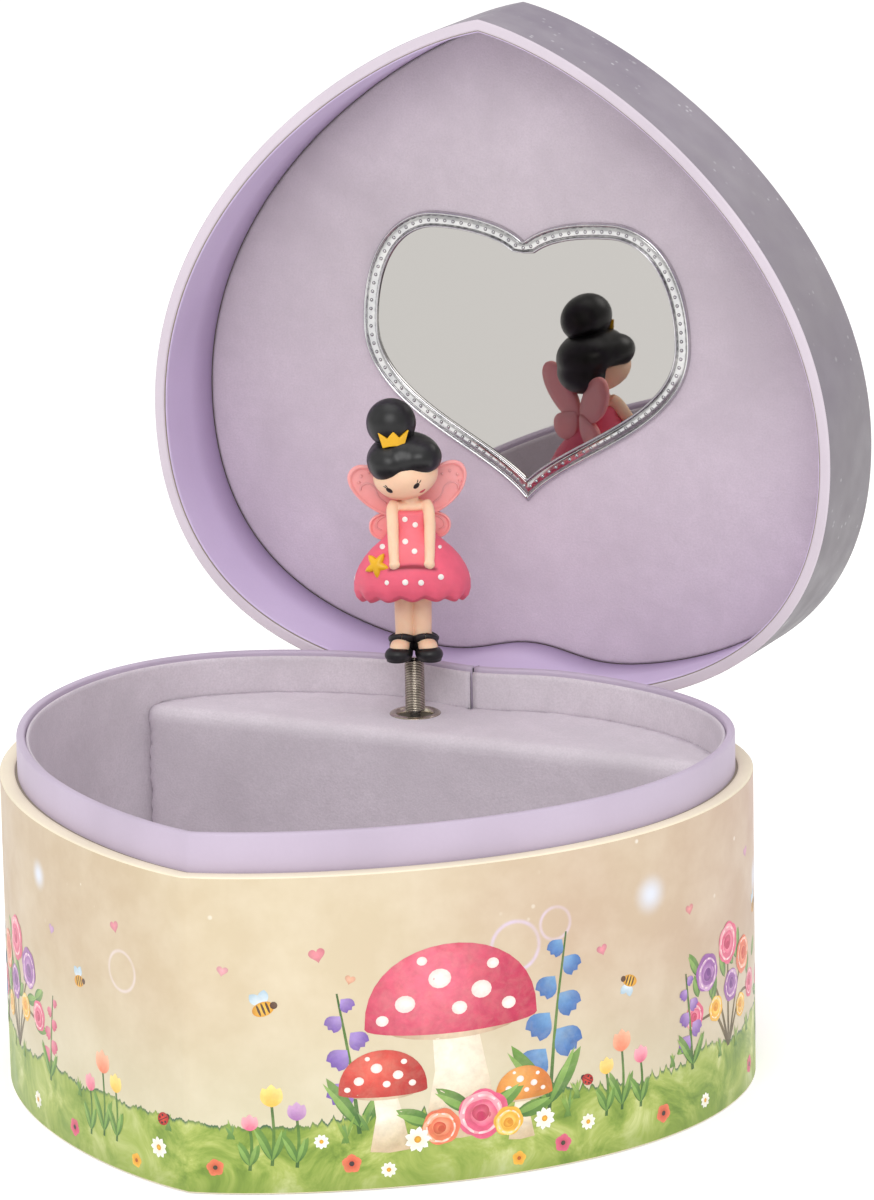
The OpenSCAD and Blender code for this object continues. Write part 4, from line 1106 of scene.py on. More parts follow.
def build_deck():
    """Velour over the movement's housing: front face, soft front edge and deck, one cloth."""
    D = 6.3
    L1 = DECK_Z - EDGE_R - 3.2            # front face
    L2 = L1 + EDGE_R * math.pi / 2        # end of the rounded edge
    u = np.linspace(0, 1, 700)
    h = half(D, u)
    def width(y):
        k = np.flatnonzero(h[:, 1] > 10)
        i = k[np.argmin(np.abs(h[k, 1] - y) + (h[k, 0] < 30) * 100)]
        return h[i, 0]
    x0, x1 = width(PART_Y + 0.6), width(PART_Y + EDGE_R)
    right = [(x0 - 0.3, t) for t in np.linspace(0, L1, 26)] + [(x0 - 0.3 + (x1 - x0) * i / 8, L1 + (L2 - L1) * i / 8) for i in range(1, 8)]
    hh = h[(h[:, 1] > PART_Y + EDGE_R) & (u > 0.5)][::4]
    right += [(x - 0.15, L2 + y - PART_Y - EDGE_R) for x, y in hh]
    right = np.array(right)
    # slit for the stop wire at the middle of the back
    right = right[right[:, 0] > 0.6]
    left = right[::-1].copy(); left[:, 0] *= -1
    left[:, 0] += 0.25
    back = [(0.6, right[-1, 1]), (0.6, right[-1, 1] - 1.6), (-0.6, right[-1, 1] - 1.6), (-0.6, right[-1, 1])]
    front = [(x, 0) for x in np.linspace(-right[0, 0] + 0.25, right[0, 0], 50)[1:-1]]
    out = np.concatenate([right, back, left, front])
    hole = [(SPIN[0] + 4.1 * math.cos(a), L2 + SPIN[1] - PART_Y - EDGE_R + 4.1 * math.sin(a)) for a in np.arange(48) * math.pi / 24]
    rings = [[(SPIN[0] + r * math.cos(a), L2 + SPIN[1] - PART_Y - EDGE_R + r * math.sin(a)) for a in np.arange(40) * math.pi / 20] for r in (4.8, 5.6, 6.4, 7.3, 8.4)]
    bend = [(x, t) for t in np.linspace(L1, L2, 7) for x in np.linspace(-66, 66, 60)]
    v, f = fill(out, [hole], 1.7, rings)
    x, t = v[:, 0], v[:, 1]
    y = np.full(len(v), PART_Y)
    z = 3.2 + t
    a = np.clip((t - L1) / EDGE_R, 0, math.pi / 2)
    m = t > L1
    y[m] = PART_Y + EDGE_R - EDGE_R * np.cos(a[m])
    z[m] = DECK_Z - EDGE_R + EDGE_R * np.sin(a[m])
    m = t > L2
    y[m] = PART_Y + EDGE_R + t[m] - L2
    z[m] = DECK_Z
    # ends of the front edge turn back
    xe = np.where(x > 0, x0 - 0.3, x0 - 0.55)
    for r, ends in ((4.2, x < 0), (2.6, x > 0)):
        q = np.clip((np.abs(x) - (xe - r)) / r, 0, 1)
        drop = r * (1 - np.sqrt(np.clip(1 - q * q, 0, 1)))
        w = np.clip((PART_Y + 9 - y) / 9, 0, 1)
        y = y + np.where(ends, drop * w * 0.85, 0)
        z = z - np.where(ends & (t > L1 * 0.9), drop * 0.55 * w, 0)
    # a hand-laid cloth: the deck bows a little, dips round the eyelet and puckers at the edges
    deck = t > L2
    rr = np.hypot(x - SPIN[0], y - SPIN[1])
    z = z - np.where(deck, 0.42 * np.exp(-((rr - 4.6) / 1.7) ** 2) * (rr < 12), 0)
    z = z - np.where(deck & (rr < 4.7), 0.25, 0)
    bow = 0.35 * np.cos(np.clip(x / 68, -1, 1) * math.pi / 2) - 0.25
    z = z + np.where(t > L1, bow * np.clip((t - L1) / (L2 - L1), 0, 1) * np.clip((60 - y) / 20, 0, 1) * np.clip((rr - 5.5) / 8, 0, 1), 0)
    z = z + np.where(deck, 0.09 * np.sin(x / 4.3 + 1.2 * np.sin(y / 5)) * np.sin(y / 3.7 + 0.9 * np.cos(x / 7)) * np.clip((rr - 6) / 6, 0, 1), 0)
    y = y - np.where(t < L1, 0.10 * np.sin(x / 6.1 + z / 11) * np.cos(z / 8 + x / 17) + 0.15, 0.15 * (t < L2))
    v3 = np.column_stack([x, y, z])
    ob = add("deck_velour_cloth", v3, f)
    bm = bmesh.new(); bm.from_mesh(ob.data)
    if sum(g.normal.z for g in bm.faces) < 0:
        bmesh.ops.reverse_faces(bm, faces=bm.faces)
    bm.to_mesh(ob.data); bm.free()
    s = ob.modifiers.new("thick", "SOLIDIFY")
    s.thickness, s.offset = 0.0006, -1
    apply_modifiers(ob)
    use(ob, "velour")
    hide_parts("deck_velour")
    return ob


# ------------------------------------------------------------------ lid, drawn shut and stood open
def build_lid():
    made = []
    top = BASE_H + LID_H
    # outer wrap: wall, rounded top edge and top sheet
    r = 1.0
    wall = [(0.0, BASE_H + 0.35), (0.0, BASE_H + 8), (0.0, top - r)] + arc_pts(r, top - r, r, 180, 90, 6)[1:] + [(2.5, top)]
    inner = [(2.5, top - 0.3), (1.2, top - 0.35), (0.35, top - 1.2), (0.3, BASE_H + 0.35)]
    outer = sweep("lid_wrap_wall", wall + inner, 240, lid=True)
    # top sheet
    o = loop(2.4, 240)
    v, f = fill(o[::2], step=4.0)
    sheet = add("lid_top_sheet", to_lid(np.column_stack([v, np.full(len(v), top - 0.01)])), f)
    s = sheet.modifiers.new("thick", "SOLIDIFY"); s.thickness, s.offset = 0.00028, 0
    bm = bmesh.new(); bm.from_mesh(sheet.data)
    if sum(g.normal.y for g in bm.faces) < 0:
        bmesh.ops.reverse_faces(bm, faces=bm.faces)
    bm.to_mesh(sheet.data); bm.free()
    apply_modifiers(sheet)
    wrap = join("lid_wrap_paper", [outer, sheet])
    wrap.data.shade_smooth()
    sharp(wrap, 40)
    use(wrap, "lid_paper")
    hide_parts("lid_wrap")
    # rim: the wrap folded over the board's edge
    z = BASE_H
    prof = [(0.0, z + 0.55)] + arc_pts(0.45, z + 0.5, 0.45, 180, 270, 5) + [(1.3, z + 0.04), (1.9, z + 0.04)] + arc_pts(1.95, z + 0.5, 0.46, 270, 360, 5) + [(2.45, z + 1.2), (2.2, z + 1.2), (2.1, z + 0.5), (0.3, z + 0.5)]
    rim = sweep("lid_rim_paper", prof, 240, lid=True)
    use(rim, "rim_paper")
    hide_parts("lid_wrap")
    # inner paper band, with its edge a little below the rim
    prof = [(2.47, z + 0.55), (2.62, z + 0.42), (2.8, z + 0.55), (2.82, z + 1.2), (2.8, z + 12), (2.8, z + PAD_D - 0.1), (2.5, z + PAD_D - 0.1), (2.5, z + 12)]
    band = sweep("lid_inner_band", prof, 240, lid=True)
    use(band, "band_paper")
    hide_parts("lid_inner_paper")
    # velour pad
    o = loop(2.87, 240)
    edge_rings = [loop(2.87 + d, 160) for d in (0.5, 1.1, 2.2)]
    v, f = fill(o, step=2.6, inner_rings=edge_rings)
    d = near(v, o)
    h = 0.28 * np.sqrt(np.clip(d / 1.6, 0, 1)) - 0.16
    mir = np.hypot(v[:, 0], (HY - v[:, 1]) - 70)
    h = h + 0.10 * np.sin(v[:, 0] / 13 + 1) * np.cos(v[:, 1] / 11) * np.clip(d / 6, 0, 1) * np.clip((mir - 40) / 12, 0, 1)
    zz = BASE_H + PAD_D + 0.02 - h * 0.9
    n = len(v)
    vv = np.concatenate([np.column_stack([v, zz]), np.column_stack([v, np.full(n, BASE_H + PAD_D + 0.65)])])
    side = [(b, a, a + n, b + n) for a, b in boundary(f)]
    pad = fix_normals(add("lid_velour_pad", to_lid(vv), list(map(tuple, f)) + list(map(tuple, f[:, ::-1] + n)) + side))
    use(pad, "velour_lid")
    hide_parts("lid_pad")
    made += [wrap, rim, band, pad]
    made += build_mirror()
    for ob in made:
        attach(ob, "lid")


def mraw(s):
    s = np.atleast_1d(np.asarray(s, float))
    a = bez((0, MLO), (9, MLO + 11.5), (MW, MLO + 17.5), (MW, MLO + 37.4), np.clip(s, 0, 1))
    b = bez((MW, MLO + 37.4), (MW, MHI - 9.2), (0.79 * MW, MHI), (0.53 * MW, MHI), np.clip(s - 1, 0, 1))
    c = bez((0.53 * MW, MHI), (0.3 * MW, MHI), (0.1 * MW, MHI - 1.8), (0, MHI - 5.3), np.clip(s - 2, 0, 1))
    return np.where((s <= 1)[:, None], a, np.where((s <= 2)[:, None], b, c))


_MS = np.linspace(0, 3, 4001)
_MP = mraw(_MS)
_MT = mraw(np.minimum(_MS + 0.001, 3)) - mraw(np.maximum(_MS - 0.001, 0))
_MT /= np.linalg.norm(_MT, axis=1)[:, None]


def mloop(d, n=150):
    q = _MP + d * np.stack([-_MT[:, 1], _MT[:, 0]], 1)
    arc = np.concatenate([[0], np.cumsum(np.linalg.norm(np.diff(_MP, axis=0), axis=1))])
    i0 = np.flatnonzero((_MS < 1) & (q[:, 0] > 0))[0] if d > 0 else 0
    i1 = np.flatnonzero((_MS > 2) & (q[:, 0] > 0))[-1]
    a = np.linspace(arc[i0], arc[i1], n)
    x, y = np.interp(a, arc, q[:, 0]), np.interp(a, arc, q[:, 1])
    x[0] = x[-1] = 0
    h = np.stack([x, y], 1)
    left = h[::-1][1:-1].copy()
    left[:, 0] *= -1
    return np.concatenate([h, left])


def build_mirror():
    y_pad = HY + PAD_D
    def at(p, lift):
        return np.column_stack([p[:, 0], np.full(len(p), y_pad - lift), BASE_H + p[:, 1]])
    # embossed frame: bead, channel with dots, bead
    prof = [(0.0, -0.25), (0.0, 0.35), (0.10, 0.85), (0.30, 1.18), (0.50, 1.20), (0.70, 1.02), (0.82, 0.78), (0.92, 0.66), (1.02, 0.72), (1.2, 0.78), (1.9, 0.84), (2.6, 0.80), (2.82, 0.72), (2.92, 0.66),
            (3.0, 0.72), (3.08, 1.00), (3.2, 1.22), (3.36, 1.24), (3.48, 1.06), (3.56, 0.90), (3.6, 0.55), (3.62, -0.25)]
    rows = [at(mloop(d, 220), l) for d, l in prof]
    m, w = len(rows[0]), len(rows)
    faces = [(k * m + i, k * m + (i + 1) % m, ((k + 1) % w) * m + (i + 1) % m, ((k + 1) % w) * m + i) for k in range(w) for i in range(m)]
    ring = fix_normals(add("mirror_ring", np.concatenate(rows), faces))
    # painted shade: dark lines in the channel's two corners, kept in the groove attribute
    dist = []
    P = np.concatenate([mloop(d, 500) for d in (0.92, 2.95)])
    for v in ring.data.vertices:
        dist.append((v.co.x / MM, v.co.z / MM - BASE_H))
    dist = near(np.array(dist), P)
    shade = np.clip(1.3 - dist / 0.12, 0, 1)
    # dots along the channel
    line = mloop(1.92, 1500)
    closed = np.concatenate([line, line[:1]])
    arc = np.concatenate([[0], np.cumsum(np.linalg.norm(np.diff(closed, axis=0), axis=1))])
    count = int(arc[-1] / 1.95)
    dots = []
    bm = bmesh.new()
    for i in range(count):
        s = arc[-1] * (i + 0.5) / count
        x, y = np.interp(s, arc, closed[:, 0]), np.interp(s, arc, closed[:, 1])
        mt = Matrix.Translation((x * MM, (y_pad - 0.80) * MM, (BASE_H + y) * MM)) @ Matrix.Diagonal((0.00042, 0.00040, 0.00042, 1))
        bmesh.ops.create_uvsphere(bm, u_segments=10, v_segments=6, radius=1.0, matrix=mt)
    me = bpy.data.meshes.new("dots")
    bm.to_mesh(me); bm.free()
    dob = bpy.data.objects.new("dots", me)
    SC.collection.objects.link(dob)
    fr = join("mirror_frame_embossed", [ring, dob])
    ga = fr.data.attributes.new("groove", "FLOAT", "POINT")
    # the dots get a little painted shade too
    ga.data.foreach_set("value", np.concatenate([shade, np.full(len(fr.data.vertices) - len(shade), 0.30)]).astype(np.float32))
    fr.data.shade_smooth()
    use(fr, "silver_plastic")
    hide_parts("mirror_frame")
    # glass
    o = mloop(3.5, 120)
    v, f = fill(o, step=4.0)
    n = len(v)
    bulge = 0.0
    vv = np.concatenate([at(v, 0.62), at(v, 0.05)])
    side = [(b, a, a + n, b + n) for a, b in boundary(f)]
    gl = fix_normals(add("mirror_glass", vv, list(map(tuple, f)) + list(map(tuple, f[:, ::-1] + n)) + side, smooth=False))
    # shading normals turned about 6 degrees from the true plate, to place the reflection; the geometry stays flat
    tilt = Vector((-0.090, -1.0, -0.070)).normalized()
    nn = []
    for poly in gl.data.polygons:
        nn += [tilt if poly.normal.y < -0.9 else poly.normal.copy()] * poly.loop_total
    gl.data.normals_split_custom_set(nn)
    use(gl, "mirror")
    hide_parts("mirror_plate")
    return [fr, gl]


def mirror_mats():
    m = Mat("mirror", (0.74, 0.71, 0.68, 1), 0.03, 1.0)
    n = m.noise(60, 3, 0.6)
    m.out((0.445, 0.431, 0.412, 1), m.map(n, 0.35, 0.75, 0.012, 0.035))
    MAT["mirror"] = m.m
    m = Mat("silver_plastic", (0.72, 0.72, 0.72, 1), 0.14, 1.0)
    n = m.noise(300, 3, 0.6)
    col = m.ramp(n, [(0.3, (0.50, 0.50, 0.51, 1)), (0.7, (0.68, 0.67, 0.66, 1))])
    # painted shade: the groove attribute darkens the channel's corners and the dots towards near-black
    g = m.attr("groove")["Fac"]
    col = m.mix(m.math("MULTIPLY", g, m.map(m.noise(140, 3, 0.6), 0.35, 0.6, 0.45, 1.0)), col, (0.035, 0.035, 0.04, 1))
    m.out(col, m.map(n, 0.3, 0.7, 0.08, 0.18), m.bump(m.noise(900, 2, 0.5), 0.08, 0.0001))
    MAT["silver_plastic"] = m.m


mirror_mats()


# ------------------------------------------------------------------ cloth hinge
def build_hinge():
    xs = np.linspace(-36, 36, 73)
    yb = back_y(xs)
    rows = []
    g = 0.16
    for z in np.linspace(54.5, 65.6, 12):
        rows.append(np.column_stack([xs, yb + g, np.full(len(xs), z)]))
    # the fold across the joint
    a = np.column_stack([xs, yb + g, np.full(len(xs), 66.1)])
    b = np.column_stack([xs, np.full(len(xs), HY + 0.55), BASE_H + (HY - yb) - g])
    for t in np.linspace(0, 1, 9):
        p = a * (1 - t) + b * t
        sag = 4 * t * (1 - t) * 0.25
        p[:, 1] += sag * 0.2
        p[:, 2] -= sag * 0.2
        rows.append(p)
    for z in np.linspace(67.4, 78.5, 12):
        rows.append(np.column_stack([xs, np.full(len(xs), HY + (z - BASE_H)), BASE_H + (HY - yb) - g]))
    v = np.concatenate(rows)
    m, w = len(xs), len(rows)
    faces = [(k * m + i, k * m + i + 1, (k + 1) * m + i + 1, (k + 1) * m + i) for k in range(w - 1) for i in range(m - 1)]
    ob = add("hinge_cloth", v, faces)
    s = ob.modifiers.new("thick", "SOLIDIFY")
    s.thickness, s.offset = 0.00022, 0
    apply_modifiers(ob)
    ob.data.shade_smooth()
    use(ob, "cloth")
    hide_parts("hinge_cloth_base", "hinge_cloth_lid")
    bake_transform(ob)
    # inner strip between the ledge and the lid's rim
    xs = np.linspace(-32, 32, 65)
    yi = back_y(xs)
    rows = []
    for t in (3.2, 2.4, 1.6, 0.9):
        rows.append(np.column_stack([xs, yi - t, np.full(len(xs), BASE_H + 0.12)]))
    for t in np.linspace(0, 1, 8):
        w2 = 0.35 * math.sin(math.pi * t)
        y = (yi - 0.5) * (1 - t) + (HY - 0.10) * t
        z = (BASE_H + 0.14) * (1 - t) + (BASE_H + (HY - yi) + 0.6) * t
        rows.append(np.column_stack([xs, y - w2 * 0.3, z + w2 * 0.3]))
    for t in (1.1, 1.7, 2.3):
        rows.append(np.column_stack([xs, np.full(len(xs), HY - 0.10), BASE_H + (HY - yi) + t]))
    v = np.concatenate(rows)
    m, w = len(xs), len(rows)
    faces = [(k * m + i, k * m + i + 1, (k + 1) * m + i + 1, (k + 1) * m + i) for k in range(w - 1) for i in range(m - 1)]
    st = add("hinge_stay_strip", v, faces)
    s = st.modifiers.new("thick", "SOLIDIFY")
    s.thickness, s.offset = 0.00018, 0
    apply_modifiers(st)
    st.data.shade_smooth()
    use(st, "lilac_paper")
    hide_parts("hinge_stay")
    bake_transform(st)


# ------------------------------------------------------------------ spring
def build_spring():
    turns, per = 30, 28
    z0, z1 = 65.9, 77.35
    n = turns * per
    i = np.arange(n + 1)
    a = 2 * math.pi * i / per
    R = 2.0
    path = np.column_stack([SPIN[0] + R * np.cos(a), SPIN[1] + R * np.sin(a), z0 + 0.15 + (z1 - z0 - 0.3) * i / n])
    t = np.column_stack([-np.sin(a), np.cos(a), np.zeros(n + 1)])
    seg, verts, faces = 8, [], []
    for k in range(n + 1):
        rad = np.array([math.cos(a[k]), math.sin(a[k]), 0])
        for j in range(seg):
            w = 2 * math.pi * j / seg
            verts.append(path[k] + 0.185 * (rad * math.cos(w) + np.array([0, 0, 1.0]) * math.sin(w)))
    for k in range(n):
        for j in range(seg):
            l = (j + 1) % seg
            faces.append((k * seg + j, (k + 1) * seg + j, (k + 1) * seg + l, k * seg + l))
    faces.append(list(range(seg)))
    faces.append([n * seg + j for j in range(seg)][::-1])
    ob = fix_normals(add("spring_coil", verts, faces))
    use(ob, "spring")
    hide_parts("figure_spring")
    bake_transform(ob)


# ------------------------------------------------------------------ figure, in its own frame: x to its right hand side as seen, -y to the front
FA = math.radians(25)


def place(obs):
    m = Matrix.Translation((SPIN[0] * MM, SPIN[1] * MM, 0)) @ Matrix.Rotation(FA, 4, "Z")
    for o in obs if isinstance(obs, (list, tuple)) else [obs]:
        o.data.transform(m)
    return obs


def melt(name, obs, voxel=0.22, smooth=4, factor=0.5):
    """Fuses overlapping shapes into one moulded form."""
    ob = join(name, obs)
    r = ob.modifiers.new("fuse", "REMESH")
    r.mode = "VOXEL"
    r.voxel_size = voxel * MM
    r.adaptivity = 0
    s = ob.modifiers.new("soft", "SMOOTH")
    s.iterations, s.factor = smooth, factor
    apply_modifiers(ob)
    ob.data.shade_smooth()
    return ob


SKIRT = np.array([(91.2, 10.9), (92.0, 11.9), (93.2, 12.45), (94.6, 12.5), (96.2, 12.2), (98, 11.5), (100, 10.3), (101.8, 8.8), (103.2, 7.2), (104.4, 5.9), (105.6, 5.0), (107, 4.5), (108.6, 4.3), (110.3, 4.2)])
FRONT = np.array([(97.9, 10.9), (98.35, 9.5), (99.2, 9.2), (100.6, 8.6), (102.6, 7.6), (104.6, 6.6), (106.6, 5.7), (108.6, 5.0), (110.3, 4.6)])
LOBES = 13
SLOPE = 0.258


def dress_r(z, th):
    """Radius of the dress at height z and angle th from the front."""
    r = np.interp(z, SKIRT[:, 0], SKIRT[:, 1])
    fr = np.interp(z, FRONT[:, 0], FRONT[:, 1])
    x = r * np.sin(th)
    w = np.clip((6.2 - np.abs(x - 0.2)) / 1.6, 0, 1) * (np.cos(th) > 0) * np.clip((z - 97.95) / 0.4, 0, 1)
    w = w * w * (3 - 2 * w)
    r = r * (1 - w) + np.minimum(fr / np.maximum(np.cos(th), 0.6), r) * w
    ruffle = np.clip((95.5 - z) / 4.0, 0, 1) ** 1.5
    r = r + 0.30 * ruffle * np.cos(LOBES * th) + 0.12 * np.clip((101 - z) / 8, 0, 1) * np.cos(LOBES * th * 0.5 + 1)
    return r


def dress_pt(z, th, out=0.0, zz=None):
    """The dress is shallower than it is wide, and its front is lifted by the lap."""
    z, th = np.asarray(z, float), np.asarray(th, float)
    r = dress_r(z, th) + out
    zz = z if zz is None else zz
    c = np.cos(th)
    lift = 1.75 * np.clip(c, 0, 1) ** 1.5 * np.clip((109.5 - z) / 4, 0, 1)
    deep = 0.80 + 0.14 * np.clip((z - 103) / 4, 0, 1)
    return np.stack(np.broadcast_arrays(r * np.sin(th), -r * c * deep, zz + lift), -1)


def on_dress(x, zp, out=0.0):
    """The point of the dress that is seen at x and at height zp of the spindle's plane."""
    th, zb = math.asin(max(-0.95, min(0.95, x / 11.5))), zp + 0.5
    for _ in range(60):
        p = dress_pt(zb, th, out)
        zb += 0.6 * (zp + SLOPE * -p[1] - p[2])
        r = float(dress_r(np.array(zb), np.array(th))) + out
        th += 0.5 * (math.asin(max(-0.97, min(0.97, x / r))) - th)
    return dress_pt(zb, th, out)


def build_dress():
    n = 180
    th = np.arange(n) * 2 * math.pi / n
    hem = 0.62 * np.abs(np.sin(LOBES * th / 2 + math.pi / 2)) ** 1.3
    rows = []
    zs = np.concatenate([np.linspace(0, 1, 26) ** 1.3 * 6.2, np.linspace(6.2, 19.1, 60)[1:]])
    full = dress_pt(np.full(n, 91.3), th)
    for k, (sc, z) in enumerate([(0.2, 93.2), (0.45, 93.0), (0.7, 92.6), (0.86, 92.0), (0.93, 91.5), (0.965, 91.05)]):
        lift = full[:, 2] - 91.3
        rows.append(np.column_stack([full[:, 0] * sc, full[:, 1] * sc, z - hem * (k / 5) + lift * (0.4 + 0.6 * k / 5)]))
    for dz in zs:
        z = 91.2 + dz
        rows.append(dress_pt(np.full(n, z), th, 0.0, z - hem * max(0, 1 - dz / 3.0)))
    for r, z in ((3.5, 110.75), (2.0, 110.8), (0.02, 110.8)):
        rows.append(np.column_stack([r * np.sin(th), -r * np.cos(th), np.full(n, z)]))
    w = len(rows)
    faces = [(k * n + i, k * n + (i + 1) % n, (k + 1) * n + (i + 1) % n, (k + 1) * n + i) for k in range(w - 1) for i in range(n)]
    faces.append([i for i in range(n)][::-1])
    ob = fix_normals(add("dress", np.concatenate(rows), faces))
    # painted shade: a dark line in the crease under the hands and darker paint under the hem
    co = np.concatenate(rows)
    me = ob.data
    pos = np.zeros(len(me.vertices) * 3, np.float32)
    me.vertices.foreach_get("co", pos)
    pos = pos.reshape(-1, 3) / MM
    x, y, z = pos.T
    base = z - 1.75 * np.clip(-y / np.maximum(np.hypot(x, y), 1e-3), 0, 1) ** 1.5
    crease = np.exp(-((base - 98.15 + 0.010 * x * x) / 0.34) ** 2) * np.clip((5.6 - np.abs(x - 0.1)) / 0.8, 0, 1) * (y < -4)
    under = np.clip((92.8 - base) / 1.6, 0, 1) * 0.35 * (np.hypot(x, y / 0.8) < 11.6)
    at = me.color_attributes.new("painted_shade_and_bodice", "FLOAT_COLOR", "POINT")
    c = np.zeros((len(pos), 4), np.float32)
    c[:, 0] = crease
    c[:, 1] = under
    # upper body, paler and warmer than the skirt
    c[:, 2] = np.clip((base - 98.4) / 0.6, 0, 1) * np.clip((4.2 - np.abs(x - 0.2)) / 1.2, 0, 1) * (y < 0)
    c[:, 3] = 1
    at.data.foreach_set("color", c.ravel())
    return ob


def build_figure():
    skin, pink = [], []
    # legs, joined at the inside
    for s in (-1, 1):
        p = spline([(s * 1.88, 0.1, 94.6), (s * 1.92, 0.0, 90.6), (s * 1.96, -0.1, 87), (s * 1.94, -0.2, 84), (s * 2.15, -0.5, 81.4)], 24)
        r = np.interp(np.linspace(0, 1, 24), [0, 0.3, 0.6, 0.85, 1], [2.12, 2.08, 2.04, 1.96, 1.9])
        skin.append(tube("leg", p, r, 24))
        skin.append(ellipsoid("foot", (s * 3.05, -2.55, 80.75), (2.08, 2.75, 1.9), (0.18, 0, s * 0.30)))
    # arms
    arms = []
    for s, x0, x1 in ((-1, 3.45, 3.85), (1, 3.15, 3.85)):
        p = spline([(s * x0, -0.9, 112.3), (s * (x0 + 0.55), -2.1, 110.9), (s * (x1 + 0.1), -3.7, 108.2), (s * (x1 + 0.05), -5.2, 105.4), (s * x1, -6.7, 102.6), (s * (x1 - 0.1), -7.7, 100.9)], 30)
        r = np.interp(np.linspace(0, 1, 30), [0, 0.15, 0.5, 0.8, 1], [1.15, 1.32, 1.25, 1.14, 1.08])
        arms.append(tube("arm", p, r, 20))
        arms.append(ellipsoid("hand", (s * (x1 - 0.1), -8.1, 100.35), (1.2, 1.0, 1.15), (0, s * 0.2, 0)))
        arms.append(ellipsoid("thumb", (s * (x1 - 0.9), -8.45, 100.6), (0.42, 0.42, 0.7), (0, s * 0.3, 0)))
    arms.append(ellipsoid("shoulders", (-0.1, -0.5, 111.5), (4.2, 2.2, 1.45)))
    arms.append(tube("neck", [(-0.1, -0.3, 110.5), (-0.15, -0.5, 112.5), (-0.3, -0.6, 115)], [1.9, 1.75, 1.9], 20))
    body = melt("figure_skin", skin + arms, 0.20, 4)
    # head: a wide soft oval, tipped down and towards its left
    head = ellipsoid("head", (-1.0, -0.9, 118.55), (7.05, 6.2, 5.35), (math.radians(8), math.radians(-12), 0), 64, 40)
    bm = bmesh.new(); bm.from_mesh(head.data)
    for v in bm.verts:
        x, y, z = (v.co / MM)
        if z < 117.0 and y < 0:      # a chin that is a little narrower
            k = min(1, (117.0 - z) / 4)
            v.co.x = ((x + 0.9) * (1 - 0.03 * k) - 0.9) * MM
    bm.to_mesh(head.data); bm.free()
    # hair: skull, two swept sides of a parted fringe, and the bun
    hair = [ellipsoid("h", (-1.35, 0.45, 121.75), (8.05, 7.2, 5.75), (0, math.radians(-5), 0), 48, 32),
            ellipsoid("h", (-4.55, -1.9, 121.35), (4.75, 5.25, 4.35), (0, math.radians(20), math.radians(8)), 48, 32),
            ellipsoid("h", (2.0, -1.8, 122.35), (4.9, 5.2, 4.1), (0, math.radians(-6), math.radians(-8)), 48, 32),
            ellipsoid("h", (-1.5, -1.2, 122.9), (5.2, 5.2, 4.2), (0, 0, 0), 48, 32),
            ellipsoid("h", (-1.2, 2.2, 118.7), (7.0, 5.4, 5.0), (0, 0, 0), 48, 32)]
    hair = melt("hair", hair, 0.26, 34)
    cut_below(hair)
    bun = ellipsoid("bun", (-3.9, 0.3, 129.6), (5.35, 5.2, 5.3), (0, 0, 0), 64, 40)
    neck = ellipsoid("hb", (-3.3, 0.3, 126.3), (3.6, 3.6, 1.6), (0, 0, 0), 32, 20)
    hair = join("figure_hair_vinyl", [hair, bun, neck])
    hair.data.shade_smooth()
    dress = build_dress()
    parts = {"skin": [body], "head": head}
    # shoes
    shoes = []
    for s in (-1, 1):
        yaw = s * 0.30
        base = ellipsoid("s", (s * 3.25, -2.45, 79.1), (2.95, 3.9, 1.85), (0, 0, yaw), 48, 32)
        bm = bmesh.new(); bm.from_mesh(base.data)
        for v in bm.verts:
            z = v.co.z / MM
            if z < 78.2:
                v.co.z = (77.45 + (z - 77.25) * 0.55) * MM
                v.co.x = (s * 3.25 + (v.co.x / MM - s * 3.25) * 1.06) * MM
                v.co.y = (-2.45 + (v.co.y / MM + 2.45) * 1.05) * MM
        bm.to_mesh(base.data); bm.free()
        shoes.append(base)
        # heel counter and sides, rising to the strap
        shoes.append(ellipsoid("side", (s * 2.55, 0.35, 80.4), (2.75, 2.35, 3.0), (0.15, 0, yaw), 40, 28))
        shoes.append(ellipsoid("toe", (s * 3.45, -3.7, 79.35), (2.75, 2.75, 1.75), (-0.12, 0, yaw), 40, 28))
        # strap over the instep
        pts = []
        for i in range(40):
            a = 2 * math.pi * i / 40
            pts.append((s * 2.45 + 2.35 * math.sin(a) + s * 0.1, -0.35 - 2.3 * math.cos(a), 82.55 + 0.35 * math.cos(a) - 0.75 * abs(math.sin(a)) ** 2))
        shoes.append(tube("strap", pts + pts[:1], 0.70, 12, cap=False, flat=(0.75, 1.2)))
    shoes = join("figure_shoes_vinyl", shoes)
    shoes.data.shade_smooth()
    # crown, a curved band on the front of the bun
    crown = build_crown()
    star = build_star()
    wings = build_wings()
    dots = build_dots()
    face = build_face(head)
    place([body, head, hair, dress, shoes, crown, star, wings, dots] + face)
    use(body, "skin"); use(head, "skin_head"); use(hair, "hair"); use(dress, "dress"); use(shoes, "shoe"); use(crown, "gold"); use(star, "gold"); use(wings, "wing"); use(dots, "white_paint")
    body.name, head.name, dress.name, wings.name, crown.name, star.name, dots.name = "figure_limbs", "figure_head", "figure_dress_vinyl", "figure_wings_vinyl", "figure_crown_gold", "figure_star_gold", "figure_dots"
    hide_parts("figure_body")
    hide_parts("figure_body")
    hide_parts("figure_hair")
    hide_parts("figure_dress")
    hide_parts("figure_shoes")
    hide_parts("figure_crown")
    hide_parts("figure_star")
    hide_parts("figure_wings")
    for o in [body, head, hair, dress, shoes, crown, star, wings, dots] + face:
        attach(o, "figure")


